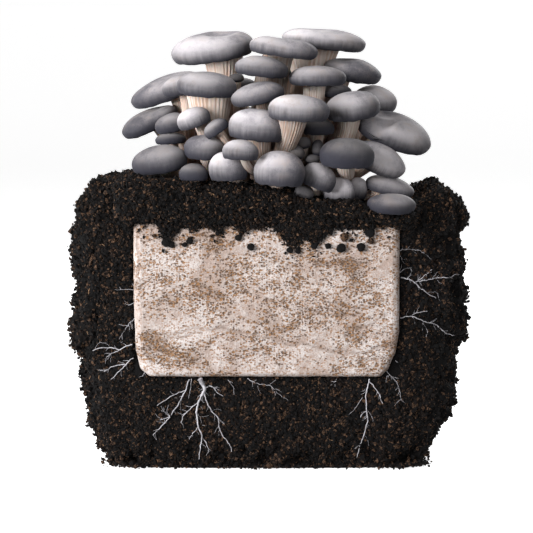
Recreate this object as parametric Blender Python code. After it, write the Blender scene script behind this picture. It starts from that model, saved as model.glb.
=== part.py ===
"""Oyster mushroom grow kit: a block of colonised sawdust set in a bed of dark soil, with a cluster of
grey oyster mushrooms growing through the soil from the block's top.

Metres, +Z up. The front, where the soil is cut away to show the block, faces -Y. The origin is on the
flat face that the kit stands on, under the middle of the block. Sizes below are in millimetres.
"""

import math
from dataclasses import dataclass

import bmesh
import bpy
from mathutils import Euler, Matrix, Vector, noise

MM = 0.001

# Clearance between touching pieces
GAP = 0.35

# Sawdust block
BLOCK_WIDTH = 200.0
BLOCK_HEIGHT = 120.0
BLOCK_DEPTH = 118.0
BLOCK_FRONT_Y = -60.0
BLOCK_BASE_Z = 70.0
BLOCK_TOP_Z = BLOCK_BASE_Z + BLOCK_HEIGHT
BLOCK_EDGE_BEVEL = 5.0

# Soil bed
SOIL_FRONT_Y = -54.0
SOIL_BACK_Y = 84.0
SOIL_RING_POINTS = 26
SOIL_LUMP = 3.2
SOIL_CREST_Y = 16.0

# Mushroom stems. A pin is a mushroom too young to have a cap of its own piece.
STEM_START_Z = 214.3
STEM_LOWEST_Z = 206.0
STEM_RINGS_AT = (0.0, 0.4, 0.8, 1.0)
PIN_RINGS_AT = (0.0, 0.6, 1.0)
PIN_WIDTH = 16.0
PIN_SIDES = 6
FOOT_SIDES = 8
FOOT_SHOULDER = 9.0

# Stems of caps lower than this push through the soil
LOW_CAP_Z = 236.0

# Mushroom caps: shares of a cap's height at its rim and in the hollow under it, and the widest part of
# its underside as a share of its width
RIM_SHARE = 0.36
UNDERSIDE_SHARE = 0.34
RIM_TUCK = 0.93
LARGE_CAP = 42.5


@dataclass(frozen=True)
class CapShape:
    """One mushroom cap: its middle, its size, and how it leans. Pitch tips its top towards the front,
    roll turns its right side down. Inset moves the stem's place from the middle towards the foot."""

    name: str
    x: float
    y: float
    z: float
    width: float
    depth: float
    height: float
    pitch: float
    roll: float
    inset: float = 0.3
    dimple: float = 0.0
    stem: float = 4.5
    bow: tuple = (0, 0)


@dataclass(frozen=True)
class Bundle:
    """Stems that share one foot on the block. Pins are mushrooms too young to be pieces of their own."""

    name: str
    x: float
    y: float
    rx: float
    ry: float
    caps: tuple
    pins: tuple = ()
    top: float = 226.0


BUNDLES = (
    Bundle(
        "stems_left", -54, 2, 13, 12,
        caps=(
            CapShape("cap_left_upper", -78, 12, 286.5, 56, 46, 16, 8, -22, 0.35, 0.0, 5.5),
            CapShape("cap_left_lobe", -65, -20, 289, 28, 20, 14, 8, -10, 0.35, 0.0, 4.0),
            CapShape("cap_left_outer", -91, 0, 262, 44, 42, 14, 10, -24, 0.35, 1.2, 5.0),
            CapShape("cap_left_inner", -72, -29, 261, 25, 24, 13, 8, -15, 0.6, 0.0, 3.6),
            CapShape("cap_left_tucked", -73, -33, 249, 23, 13, 8, 5, -3, 0.5, 0.0, 2.8),
            CapShape("cap_left_low", -80.5, -47, 234.5, 41, 32, 18, 12, -10, 0.35, 0.0, 5.0),
            CapShape("cap_left_bottom", -54.5, -60, 225, 23, 16, 12, 5, 0, 0.3, 0.0, 3.3),
        ),
    ),
    Bundle(
        "stems_left_tall", -27, -7, 15.5, 16,
        caps=(
            CapShape("cap_top_left", -41, -10, 319.5, 61, 54, 20, 10, -9, 0.22, 2.8, 8.0),
            CapShape("cap_left_saddle", -45, -47, 290.5, 44, 32, 17, 8, 3, 0.3, 0.0, 8.5, (-3, 0)),
            CapShape("cap_left_button", -55, -53, 265.5, 25, 21, 14, 6, -20, 0.5, 0.0, 3.6),
            CapShape("cap_left_bud", -38, -60, 258.5, 19, 14, 10, 5, -35, 0.3, 0.0, 2.6, (5, 2)),
            CapShape("cap_left_front", -47, -53, 243.5, 30.5, 22, 17, 10, 3, 0.3, 0.0, 3.6),
        ),
        pins=(CapShape("pin", -22.5, -27, 294.5, 11, 10, 7, 0, 0, 0.0, 0.0, 2.0),),
    ),
    Bundle(
        "stems_front", 3, -29, 13, 11,
        caps=(
            CapShape("cap_front_upper", -7, -53, 284, 41, 30, 14, 10, -12, 0.45, 0.0, 4.5, (0, 6)),
            CapShape("cap_front_bell", -6.5, -61, 260.5, 41, 25, 22, 10, 6, 0.25, 0.0, 5.0),
            CapShape("cap_front_button", -19, -80, 242.5, 26, 18, 14, 6, 3, 0.5, 0.0, 3.0, (3.2, 0)),
            CapShape("cap_front_pale", -28.5, -66, 230, 28, 18, 21, 8, -3, 0.25, 0.0, 3.2),
            CapShape("cap_front_dome", 10, -70, 228.5, 39, 28, 24, 8, 3, 0.2, 0.0, 3.8),
            CapShape("cap_centre", 24, -75, 273.5, 44, 28, 18, 8, 3, 0.4, 0.0, 6.0, (9, 2)),
        ),
        pins=(
            CapShape("pin", 28, -48, 246, 11, 10, 9, 5, -10, 0.0, 0.0, 1.8),
            CapShape("pin", 18, -46, 247, 15, 12, 8, 5, -5, 0.0, 0.0, 2.0),
            CapShape("pin", 21, -51, 239, 16, 13, 11, 5, 5, 0.0, 0.0, 2.2),
        ),
    ),
    Bundle(
        "stems_centre_tall", 2, 8, 12, 12,
        caps=(
            CapShape("cap_centre_upper", -3, -44, 303.5, 39, 28, 14, 6, 6, 0.65, 0.0, 4.0),
            CapShape("cap_top_centre", 12.5, -32, 318.5, 50, 36, 14, 5, 8, 0.4, 0.0, 5.5),
        ),
    ),
    Bundle(
        "stems_right_tall", 27, 6, 12, 12,
        caps=(
            CapShape("cap_top_right", 43.5, 6, 324.5, 62, 52, 16, 2, 6, 0.25, 1.5, 8.0),
            CapShape("cap_right_upper", 39, -40, 296.5, 43, 30, 14, 4, 0, 0.5, 0.0, 6.0),
            CapShape("cap_right_wing", 66, -2, 301, 43, 40, 15, 8, 12, 0.35, 1.5, 4.8),
            CapShape("cap_right_tucked", 52.5, -22, 285, 24, 20, 9, 3, 0, 0.3, 0.0, 3.2),
            CapShape("cap_centre_low", 39, -42, 258, 25, 22, 11, 3, 0, 0.3, 0.0, 3.5),
        ),
    ),
    Bundle(
        "stems_right", 54, -2, 12, 12,
        caps=(
            CapShape("cap_right_middle", 64.5, -48, 274.5, 42, 34, 19, 10, -8, 0.3, 0.0, 6.0),
            CapShape("cap_right_back", 83, 2, 278.5, 37, 34, 17, 12, 5, 0.35, 0.0, 4.5),
            CapShape("cap_right_outer", 98, -27, 256, 57, 42, 19, 18, 22, 0.45, 3.0, 6.0),
            CapShape("cap_right_slope", 86, -42, 235, 40, 30, 16, 12, 31, 0.35, 0.0, 4.5),
            CapShape("cap_right_front", 59.5, -70, 240, 43, 28, 20, 10, 2, 0.3, 0.0, 5.0, (5, 0)),
        ),
    ),
    Bundle(
        "stems_right_low", 45, -27, 12, 10, top=214.0,
        caps=(
            CapShape("cap_front_right", 39.5, -61, 222, 26, 16, 18, 8, 22, 0.2, 0.0, 2.8, (-2, 0)),
            CapShape("cap_right_low", 93.5, -38, 214, 36, 26, 12, 10, 14, 0.4, 0.0, 3.8, (0, 6)),
            CapShape("cap_right_bottom", 93.5, -64.5, 202, 36, 22, 12.5, 14, 4, 0.2, 0.0, 2.8, (0, 4)),
            CapShape("cap_low_pale", 54.5, -50.5, 211.5, 25, 14, 17, 8, 0, 0.1, 0.0, 2.2),
            CapShape("cap_low_shaded", 68.5, -40, 212, 16.5, 10, 15, 5, 15, 0.25, 0.0, 2.6),
        ),
        pins=(
            CapShape("pin", 38.5, -46, 242, 9, 9, 13, 0, 0, 0.0, 0.0, 1.8),
            CapShape("pin", 34.5, -48, 234, 12, 10, 7, 10, 0, 0.0, 0.0, 1.8),
            CapShape("pin", 28, -58, 209, 15, 11, 11, 5, 10, 0.0, 0.0, 2.2),
        ),
    ),
    Bundle(
        "stems_back", 0, 42, 20, 12,
        caps=(
            CapShape("cap_back_top_left", -30, 46, 286, 44, 38, 15, -8, -8, 0.3, 1.0, 5.0),
            CapShape("cap_back_top_right", 19, 54, 299, 46, 40, 15, -8, 5, 0.3, 1.5, 5.0),
            CapShape("cap_back_right", 62, 46, 276, 40, 36, 14, -10, 8, 0.35, 0.0, 4.5),
            CapShape("cap_back_left", -66, 44, 254, 38, 36, 14, -12, -12, 0.35, 0.0, 4.5),
            CapShape("cap_back_centre_left", -22, 68, 262, 42, 34, 15, -12, -4, 0.3, 0.0, 4.5),
            CapShape("cap_back_centre_right", 30, 70, 264, 44, 36, 16, -12, 6, 0.3, 0.0, 4.5),
            CapShape("cap_back_low_left", -44, 64, 236, 38, 32, 16, -14, -8, 0.35, 0.0, 4.5),
            CapShape("cap_back_low_right", 56, 62, 240, 38, 32, 16, -14, 10, 0.35, 0.0, 4.5),
        ),
    ),
)


def clear_scene():
    """Removes every object, so that only the kit is left."""
    for old in list(bpy.data.objects):
        bpy.data.objects.remove(old)


def make_material(name, colour, roughness):
    """A Principled material; nothing in the kit is metal."""
    made = bpy.data.materials.new(name)
    made.use_nodes = True
    shader = made.node_tree.nodes["Principled BSDF"]
    shader.inputs["Base Color"].default_value = (*colour, 1.0)
    shader.inputs["Roughness"].default_value = roughness
    shader.inputs["Metallic"].default_value = 0.0
    made.diffuse_color = (*colour, 1.0)
    return made


def add_mesh(name, points, faces, material=None, smooth=True):
    """A mesh object from points in millimetres."""
    mesh = bpy.data.meshes.new(name)
    mesh.from_pydata([Vector(p) * MM for p in points], [], faces)
    build = bmesh.new()
    build.from_mesh(mesh)
    bmesh.ops.recalc_face_normals(build, faces=build.faces)
    if build.calc_volume(signed=True) < 0:
        bmesh.ops.reverse_faces(build, faces=build.faces)
    build.to_mesh(mesh)
    build.free()
    if smooth:
        mesh.shade_smooth()
        mesh.set_sharp_from_angle(angle=math.radians(50))
    made = bpy.data.objects.new(name, mesh)
    if material:
        made.data.materials.append(material)
    bpy.context.scene.collection.objects.link(made)
    return made


def combine(base, others, operation):
    """Applies one Boolean for each of the others to base, and removes them."""
    for other in others:
        modifier = base.modifiers.new(other.name, "BOOLEAN")
        modifier.operation = operation
        modifier.object = other
    bpy.context.view_layer.update()
    graph = bpy.context.evaluated_depsgraph_get()
    mesh = bpy.data.meshes.new_from_object(base.evaluated_get(graph))
    base.modifiers.clear()
    base.data = mesh
    for other in others:
        bpy.data.objects.remove(other)
    return base


def join_rings(rings, start=None, end=None):
    """Faces of a skin through rings of equal length, closed by a fan or one flat face at each end."""
    points = [p for ring in rings for p in ring]
    count = len(rings[0])
    faces = []
    for level in range(len(rings) - 1):
        for i in range(count):
            j = (i + 1) % count
            a, b = level * count, (level + 1) * count
            faces.append((a + i, a + j, b + j, b + i))
    last = (len(rings) - 1) * count
    if start is None:
        faces.append(tuple(reversed(range(count))))
    else:
        points.append(start)
        faces += [((i + 1) % count, i, len(points) - 1) for i in range(count)]
    if end is None:
        faces.append(tuple(last + i for i in range(count)))
    else:
        points.append(end)
        faces += [(last + i, last + (i + 1) % count, len(points) - 1) for i in range(count)]
    return points, faces


# Caps


def cap_frame(cap):
    """The cap's own axes and middle, as a matrix in millimetres."""
    turn = Euler((math.radians(cap.pitch), math.radians(cap.roll), 0)).to_matrix().to_4x4()
    return Matrix.Translation((cap.x, cap.y, cap.z)) @ turn


def stem_place(cap, bundle):
    """Where the stem meets the cap, in the cap's own plane: set in from the middle towards the foot."""
    towards = Vector((bundle.x - cap.x, bundle.y - cap.y, 0))
    if towards.length < 1:
        return Vector((0, 0))
    local = cap_frame(cap).to_3x3().inverted() @ towards.normalized()
    flat = Vector((local.x, local.y)).normalized()
    return Vector((flat.x * cap.width, flat.y * cap.depth)) * 0.5 * cap.inset


def cap_wobble(cap, angle):
    """How far the rim strays from an ellipse at this angle, as a share."""
    seed = cap.x * 0.37 + cap.z * 0.11
    return 0.045 * math.sin(2 * angle + seed) + 0.03 * math.sin(3 * angle + 2.1 * seed)


def stem_seat(cap):
    """Radius of the flat place under the cap where its stem joins."""
    return min(cap.stem * 1.5 + 1, 0.82 * (1 - cap.inset) * cap.depth / 2)


def dome_height(cap, place, flat):
    """Height of the cap's top over a point in its own plane: a dome with a dimple over the stem."""
    across, along = flat.x / (cap.width / 2), flat.y / (cap.depth / 2)
    reach = math.hypot(across, along) / (1 + cap_wobble(cap, math.atan2(along, across)))
    dome = (1 - min(1.0, reach) ** 2.3) ** 0.62
    away = (flat - place).length / (0.15 * cap.width)
    return cap.height * (RIM_SHARE + (1 - RIM_SHARE) * dome - 0.5) - cap.dimple * math.exp(-away * away)


def cap_rings(cap, bundle):
    """Rings of the cap in its own frame, from the dome round the rim to the flat seat of the stem."""
    large = cap.width > LARGE_CAP
    sides = 12 if large else 10
    place = stem_place(cap, bundle)
    low = -cap.height / 2
    under = low + cap.height * UNDERSIDE_SHARE

    def flat_at(share, angle):
        rim = Vector((cap.width / 2 * math.cos(angle), cap.depth / 2 * math.sin(angle)))
        return place + (rim * (1 + cap_wobble(cap, angle)) - place) * share

    angles = [2 * math.pi * i / sides for i in range(sides)]
    rings = []
    for share in (0.55, 0.88) if large else (0.75,):
        flats = [flat_at(share, t) for t in angles]
        rings.append([Vector((*flat, dome_height(cap, place, flat))) for flat in flats])
    rings.append([Vector((*flat_at(1.0, t), low + cap.height * RIM_SHARE * 0.75)) for t in angles])
    rings.append([Vector((*flat_at(RIM_TUCK, t), low)) for t in angles])
    seat = stem_seat(cap)
    rings.append([
        Vector((place.x + seat * math.cos(t), place.y + seat * math.sin(t), under)) for t in angles
    ])
    return rings, Vector((*place, dome_height(cap, place, place))), Vector((*place, under))


def add_cap(cap, bundle, material):
    """One cap as a closed solid, made flat and then leaned over and lifted to its place."""
    rings, top, bottom = cap_rings(cap, bundle)
    made = add_mesh(cap.name, *join_rings(rings, start=top, end=bottom), material)
    made.location = Vector((cap.x, cap.y, cap.z)) * MM
    made.rotation_euler = (math.radians(cap.pitch), math.radians(cap.roll), 0)
    return made


# Stems


def bezier(ends, share):
    """A point and direction on a cubic curve."""
    a, b, c, d = ends
    rest = 1 - share
    point = a * rest**3 + b * 3 * rest**2 * share + c * 3 * rest * share**2 + d * share**3
    way = (b - a) * 3 * rest**2 + (c - b) * 6 * rest * share + (d - c) * 3 * share**2
    return point, way.normalized()


def stem_curve(cap, bundle, order):
    """The stem's line, from inside the foot to just under the cap. A low cap's stem starts lower, leaves
    the foot more level and comes up from below the cap's rim."""
    frame = cap_frame(cap)
    place = stem_place(cap, bundle)
    under = -cap.height / 2 + cap.height * UNDERSIDE_SHARE - GAP
    end = frame @ Vector((place.x, place.y, under))
    axis = (frame.to_3x3() @ Vector((0, 0, 1))).normalized()
    outward = Vector((cap.x - bundle.x, cap.y - bundle.y, 0)).normalized()
    start_z = max(STEM_LOWEST_Z, min(STEM_START_Z, cap.z - 24)) + 0.7 * order
    shift = Vector((outward.x * bundle.rx, outward.y * bundle.ry, 0)) * 0.32
    start = Vector((bundle.x, bundle.y, start_z)) + shift
    reach = (end - start).length
    steep = max(0.0, end.z - start.z) / reach
    rise = (outward * (1.3 - steep) + Vector((0, 0, steep))).normalized()
    bow = Vector((*cap.bow, 0))
    drop = 0.35 * reach * steep + 18 * (1 - steep)
    return start, start + rise * reach * 0.35 + bow * 2, end - axis * drop, end


def tube_rings(places, sides):
    """Rings round a line, given as (point, direction, radius), with no twist along it."""
    rings = []
    across = Vector((1, 0, 0))
    for point, way, radius in places:
        across = (across - way * across.dot(way)).normalized()
        up = way.cross(across)
        rings.append(
            [
                point + (across * math.cos(t) + up * math.sin(t)) * radius
                for t in (2 * math.pi * i / sides for i in range(sides))
            ]
        )
    return rings


def add_stem(cap, bundle, order, grow=0.0):
    """One stem: stout at the foot, flaring into the cap."""
    ends = stem_curve(cap, bundle, order)
    neck = 0.9 * cap.stem
    flare = max(0.0, min(1.45 * cap.stem, stem_seat(cap) - 1) - neck)
    places = []
    young = cap.width < PIN_WIDTH
    for share in PIN_RINGS_AT if young else STEM_RINGS_AT:
        point, way = bezier(ends, share)
        places.append((point, way, neck + 0.25 * cap.stem * (1 - share) + flare * share**6 + grow))
    sides = 4 if young else 6 if cap.stem > 4.2 else 5
    points, faces = join_rings(tube_rings(places, sides))
    return add_mesh("stem", points, faces)


def add_pin_cap(pin, grow=0.0):
    """The round cap of a very young mushroom."""
    mesh = bpy.data.meshes.new("pin")
    build = bmesh.new()
    size = Matrix.Diagonal((pin.width / 2 + grow, pin.depth / 2 + grow, pin.height / 2 + grow, 1))
    bmesh.ops.create_uvsphere(
        build, u_segments=PIN_SIDES, v_segments=4, radius=1, matrix=cap_frame(pin) @ size
    )
    bmesh.ops.scale(build, vec=(MM, MM, MM), verts=build.verts)
    build.to_mesh(mesh)
    build.free()
    made = bpy.data.objects.new("pin", mesh)
    bpy.context.scene.collection.objects.link(made)
    return made


def add_foot(bundle, grow=0.0):
    """The foot that a bundle's stems share, standing on the block."""
    levels = ((BLOCK_TOP_Z + GAP - grow, 1.0), (bundle.top - FOOT_SHOULDER, 1.0), (bundle.top, 0.72))
    rings = []
    for z, share in levels:
        ring = []
        for i in range(FOOT_SIDES):
            t = 2 * math.pi * (i + 0.5) / FOOT_SIDES
            x = bundle.x + (bundle.rx * share + grow) * math.cos(t)
            y = bundle.y + (bundle.ry * share + grow) * math.sin(t)
            ring.append(Vector((x, y, z)))
        rings.append(ring)
    points, faces = join_rings(rings)
    return add_mesh(bundle.name, points, faces)


def bundle_shapes(bundle, below=math.inf, grow=0.0):
    """The stems and pins of a bundle, or only those whose caps are below a height."""
    shapes = [add_stem(cap, bundle, i, grow) for i, cap in enumerate(bundle.caps) if cap.z < below]
    for i, pin in enumerate(bundle.pins):
        if pin.z < below:
            shapes += [add_stem(pin, bundle, i + 0.5, grow), add_pin_cap(pin, grow)]
    return shapes


def add_bundle(bundle, material):
    """A foot, its stems and its pins as one solid."""
    foot = combine(add_foot(bundle), bundle_shapes(bundle), "UNION")
    foot.data.materials.clear()
    foot.data.materials.append(material)
    return foot


# Block


def block_outline(grow=0.0):
    """The block's front outline: square at the top, with soft lower corners as it sat in its bag."""
    half, base, top = BLOCK_WIDTH / 2, BLOCK_BASE_Z, BLOCK_TOP_Z
    corners = (
        (-half + 12, base), (-half + 5, base + 6), (-half + 1.5, base + 20), (-half, base + 60),
        (-half, top - 6), (-half + 3, top),
        (half - 3, top), (half, top - 6), (half, base + 34), (half - 3, base + 18),
        (half - 8, base + 6), (half - 14, base),
    )
    middle = Vector((0, (base + top) / 2))
    return [
        Vector(c) + Vector((math.copysign(grow, c[0]), math.copysign(grow, c[1] - middle.y)))
        for c in corners
    ]


def add_block(material):
    """The sawdust block."""
    inner = 1 - BLOCK_EDGE_BEVEL / (BLOCK_WIDTH / 2)
    middle = Vector((0, BLOCK_BASE_Z + BLOCK_HEIGHT / 2))
    back = BLOCK_FRONT_Y + BLOCK_DEPTH
    rings = []
    for y, share in (
        (BLOCK_FRONT_Y, inner), (BLOCK_FRONT_Y + 1.5, (1 + 2 * inner) / 3 + 0.02),
        (BLOCK_FRONT_Y + BLOCK_EDGE_BEVEL, 1.0), (back - BLOCK_EDGE_BEVEL, 1.0), (back, inner),
    ):
        ring = []
        for corner in block_outline():
            flat = middle + (corner - middle) * share
            ring.append(Vector((flat.x, y, flat.y)))
        rings.append(ring)
    points, faces = join_rings(rings)
    return add_mesh("sawdust_block", points, faces, material)


def block_pocket():
    """The room that the block takes in the soil, open to the front."""
    rings = []
    for y in (BLOCK_FRONT_Y - 20, BLOCK_FRONT_Y + BLOCK_DEPTH + GAP):
        rings.append([Vector((c.x, y, c.y)) for c in block_outline(GAP)])
    points, faces = join_rings(rings)
    return add_mesh("block_pocket", points, faces)


# Soil

# Height and the soil's left and right reach there, as the ragged outline in the photograph runs
SOIL_SIDES = (
    (0, -117, 119), (16, -130, 128), (40, -138, 142), (72, -137, 144), (101, -149, 147),
    (132, -144, 150), (160, -148, 146), (188, -144, 151), (204, -140, 149), (216, -135, 140),
)

# The crest of the mound from left to right: higher on the left, as in the photograph
SOIL_CREST = (
    (-150, 194), (-141, 205), (-132, 217), (-120, 223), (-108, 222), (-60, 218), (-20, 214), (20, 211),
    (55, 208), (88, 206), (112, 206), (124, 213), (135, 217), (144, 208), (152, 194),
)

# The front edge of the mound from left to right, just under the lowest caps
SOIL_LIP = (
    (-150, 192), (-140, 203), (-131, 214), (-118, 220), (-104, 218), (-60, 213.5), (-28, 212.5), (10, 211),
    (34, 205), (44, 198.5), (75, 196.5), (93, 195), (112, 200), (123, 209), (135, 214), (144, 205),
    (152, 192),
)


def soil_reach(z):
    """The soil's left and right edges at a height."""
    for low, high in zip(SOIL_SIDES, SOIL_SIDES[1:]):
        if z <= high[0]:
            share = (z - low[0]) / (high[0] - low[0])
            return low[1] + (high[1] - low[1]) * share, low[2] + (high[2] - low[2]) * share
    return SOIL_SIDES[-1][1:]


def read_curve(table, place):
    """The value of a curve, given as (place, value) pairs, with straight lines between them."""
    for (low, before), (high, after) in zip(table, table[1:]):
        if place <= high:
            share = max(0.0, (place - low) / (high - low))
            return before + (after - before) * share
    return table[-1][1]


def soil_top(x, y):
    """Height of the mound over the block: a crest behind, sloping to its front and back edges."""
    share = min(1.0, max(0.0, (SOIL_CREST_Y - y) / (SOIL_CREST_Y - SOIL_FRONT_Y)))
    back = max(0.0, y - 52) / 32
    crest = read_curve(SOIL_CREST, x)
    return crest + (read_curve(SOIL_LIP, x) - crest) * share - 12 * back * back


def lump(point, size=26.0, amount=SOIL_LUMP):
    """Uneven soil: a shift that varies smoothly from place to place."""
    return noise.noise(Vector(point) / size) * amount


def soil_ring(z, shrink):
    """One level of the soil: flat along the front, rounded at the corners, lumpy behind."""
    left, right = soil_reach(z)
    middle = (left + right) / 2
    ring = []
    for i in range(SOIL_RING_POINTS):
        t = 2 * math.pi * i / SOIL_RING_POINTS
        c, s = math.cos(t), math.sin(t)
        square = (abs(c) ** 5 + abs(s) ** 5) ** -0.2
        x = middle + (right - left) / 2 * c * square * shrink
        centre_y = (SOIL_FRONT_Y + SOIL_BACK_Y) / 2
        y = centre_y + (SOIL_BACK_Y - SOIL_FRONT_Y) / 2 * s * square * shrink
        ring.append((x, y))
    return ring


def add_soil(material):
    """The bed of soil, with the block's pocket still to be cut."""
    rings = []
    for z in (0, 16, 40, 72, 101, 132, 160, 188):
        ring = []
        for x, y in soil_ring(z, 1.0):
            if z > 0 and y > SOIL_FRONT_Y + 1:
                out = lump((x, y, z)) * 1.2
                x += math.copysign(out, x) if abs(x) > 60 else 0
                y += out if y > 40 else 0
            ring.append(Vector((x, y, z)))
        rings.append(ring)
    for level, shrink in ((204, 0.99), (216, 0.94), (216, 0.72), (216, 0.42)):
        ring = []
        for x, y in soil_ring(level, shrink):
            ring.append(Vector((x, y, soil_top(x, y) + lump((x, y, 0), 18, 2.5))))
        rings.append(ring)
    points, faces = join_rings(rings, end=Vector((2, 15, soil_top(2, 15))))
    return add_mesh("soil", points, faces, material)


# Mycelium strands: threads that spread from the block over the cut face of the soil


@dataclass(frozen=True)
class Strand:
    """A branching thread: each line is (start radius, end radius, points as x and z)."""

    name: str
    lines: tuple


STRANDS = (
    Strand("mycelium_left_upper", (
        (1.3, 0.9, ((-101.5, 94), (-106, 93), (-111, 90), (-118, 91.5), (-126, 91), (-132, 89))),
        (0.9, 0.7, ((-110, 90.5), (-116, 87.5), (-121.5, 84))),
    )),
    Strand("mycelium_left_lower", (
        (1.2, 0.8, ((-100.5, 84), (-103, 82.5), (-107, 78), (-113, 71.5), (-118, 67))),
        (0.9, 0.7, ((-106, 78.5), (-112, 78.3), (-118, 76), (-123, 72.5))),
    )),
    Strand("mycelium_below_left", (
        (1.4, 0.8, ((-58.5, 68.5), (-61, 60), (-66.5, 49.5), (-73, 39.5), (-82.5, 29), (-86, 25.5))),
        (0.9, 0.7, ((-62, 59.5), (-71.5, 56), (-78, 51.5), (-82.5, 48))),
        (0.8, 0.7, ((-72.5, 40), (-78, 38), (-80.5, 37))),
    )),
    Strand("mycelium_below_centre", (
        (2.6, 0.9, (
            (-50.5, 68.5), (-46.5, 62.5), (-47.5, 58.5), (-51.5, 51.5), (-53, 42.5), (-51.5, 32.5),
            (-48.5, 24.5), (-50, 16), (-51, 7.5),
        )),
        (1.3, 0.8, (
            (-47, 59), (-46, 54), (-41.5, 43.5), (-36.5, 39.5), (-36, 32.5), (-33, 25), (-28.5, 20),
            (-26, 13.5),
        )),
        (1.1, 0.7, ((-46.5, 62), (-41.5, 63.7), (-36.5, 57.7), (-33, 55.5))),
        (1.0, 0.7, ((-51.8, 51), (-59.5, 44), (-63, 40.5), (-64.5, 35))),
        (0.8, 0.7, ((-51.5, 32), (-57, 25.5), (-58.5, 22.5))),
        (0.8, 0.7, ((-48.5, 24), (-45.5, 19.5), (-44, 13.5))),
    )),
    Strand("mycelium_below_right", (
        (1.5, 0.8, (
            (78, 68.5), (76.5, 64.5), (75, 55.5), (75.5, 45.5), (76.5, 37), (73.8, 26), (71, 18.5),
            (68.5, 8.5),
        )),
        (1.0, 0.7, ((77.5, 67), (81.5, 62), (85.5, 56.5), (87.5, 49.5))),
        (0.8, 0.7, ((75.5, 44), (72, 42), (71, 39))),
    )),
    Strand("mycelium_right_upper", (
        (1.3, 0.8, ((101, 145), (107.5, 143.8), (112, 141), (116, 137), (121.5, 133), (128, 129))),
        (1.0, 0.7, ((112.5, 141.5), (120.5, 142.5), (127, 144), (134.5, 144.7), (141, 143.5))),
        (0.8, 0.7, ((114, 142.5), (121.5, 147.8), (125, 150.5))),
    )),
    Strand("mycelium_right_lower", (
        (1.2, 0.8, (
            (101, 114.7), (108, 115.7), (114, 114), (120.5, 110.8), (128.5, 109), (132.5, 104.7),
            (137, 100.8),
        )),
        (0.8, 0.7, ((109, 115.5), (114, 118.5), (121.5, 119))),
    )),
)


def add_strand(strand, material):
    """A branching thread lying on the soil's front face."""
    tubes = []
    for start, end, line in strand.lines:
        flat = [Vector((x, SOIL_FRONT_Y - GAP - start, z)) for x, z in line]
        places = []
        for i, point in enumerate(flat):
            way = (flat[min(i + 1, len(flat) - 1)] - flat[max(i - 1, 0)]).normalized()
            radius = start + (end - start) * i / (len(flat) - 1)
            places.append((point + Vector((0, start - radius, 0)), way, radius))
        rings = []
        for point, way, radius in places:
            side = Vector((way.z, 0, -way.x))
            out = Vector((0, 1, 0))
            rings.append([point + side * radius, point - out * radius * 1.2, point - side * radius])
        points, faces = join_rings(rings)
        tubes.append(add_mesh(strand.name, points, faces, smooth=False))
    trunk = combine(tubes[0], tubes[1:], "UNION")
    trunk.name = strand.name
    trunk.data.materials.clear()
    trunk.data.materials.append(material)
    return trunk


def main():
    """Builds the kit, each piece hung on one empty that stands where the kit stands."""
    clear_scene()
    cap_grey = make_material("cap_grey", (0.33, 0.32, 0.33), 0.7)
    stem_cream = make_material("stem_cream", (0.75, 0.70, 0.64), 0.75)
    sawdust = make_material("sawdust_and_mycelium", (0.66, 0.56, 0.48), 0.9)
    soil_dark = make_material("dark_soil", (0.045, 0.03, 0.022), 0.95)
    thread = make_material("mycelium_white", (0.68, 0.66, 0.66), 0.8)

    pieces = [add_block(sawdust)]
    pieces += [add_strand(strand, thread) for strand in STRANDS]
    for bundle in BUNDLES:
        pieces.append(add_bundle(bundle, stem_cream))
        pieces += [add_cap(cap, bundle, cap_grey) for cap in bundle.caps]

    cutters = [block_pocket()]
    for bundle in BUNDLES:
        cutters.append(add_foot(bundle, grow=GAP))
        cutters += bundle_shapes(bundle, below=LOW_CAP_Z, grow=2 * GAP)
    pieces.append(combine(add_soil(soil_dark), cutters, "DIFFERENCE"))

    kit = bpy.data.objects.new("grow_kit", None)
    bpy.context.scene.collection.objects.link(kit)
    for piece in pieces:
        piece.parent = kit


main()
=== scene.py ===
"""Looks of an oyster mushroom grow kit: a block of sawdust grown through with mycelium, the dark soil it is
set in, and the cluster of grey oyster mushrooms that grows from its top.

Each sub-assembly is a class that builds its meshes and dresses them. Sizes are in millimetres until a mesh
is made, in the same frame as the solids: +Z up, the front towards -Y.
"""

import functools
import logging
import math
from collections.abc import Sequence
from dataclasses import dataclass
from enum import Enum

import bmesh
import bpy
import numpy as np
from mathutils import Euler, Matrix, Vector, noise
from mathutils.bvhtree import BVHTree


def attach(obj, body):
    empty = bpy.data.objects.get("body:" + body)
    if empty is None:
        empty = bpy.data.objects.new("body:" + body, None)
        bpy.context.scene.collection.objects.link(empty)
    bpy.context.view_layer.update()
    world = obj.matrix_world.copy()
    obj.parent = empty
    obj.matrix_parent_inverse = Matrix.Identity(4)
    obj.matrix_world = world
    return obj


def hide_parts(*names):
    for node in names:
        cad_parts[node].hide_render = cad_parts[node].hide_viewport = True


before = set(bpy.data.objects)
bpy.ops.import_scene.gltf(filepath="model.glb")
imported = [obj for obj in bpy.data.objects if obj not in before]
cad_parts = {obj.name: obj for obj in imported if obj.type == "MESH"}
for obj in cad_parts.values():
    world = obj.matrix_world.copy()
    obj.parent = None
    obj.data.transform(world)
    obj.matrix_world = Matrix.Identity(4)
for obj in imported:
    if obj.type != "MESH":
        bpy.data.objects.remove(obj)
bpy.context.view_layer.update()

log = logging.getLogger("grow_kit")

MM = 0.001
TURN = 2 * math.pi
BODY = "root"

# The camera's distance from the block's face, its height angle, and the lens and film that frame 400 mm there
CAMERA_DISTANCE = 2000.0
CAMERA_ELEVATION = 5.0
CAMERA_LENS = 180.0
CAMERA_FILM = 36.0
CAMERA_AIM = (0.0, -60.0, 154.0)

BLOCK_FRONT_Y = -60.0
BLOCK_HALF_WIDTH = 100.0
BLOCK_BASE_Z = 70.0
BLOCK_TOP_Z = 190.0
SOIL_FRONT_Y = -54.0
FLOOR_Z = 0.0

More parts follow.
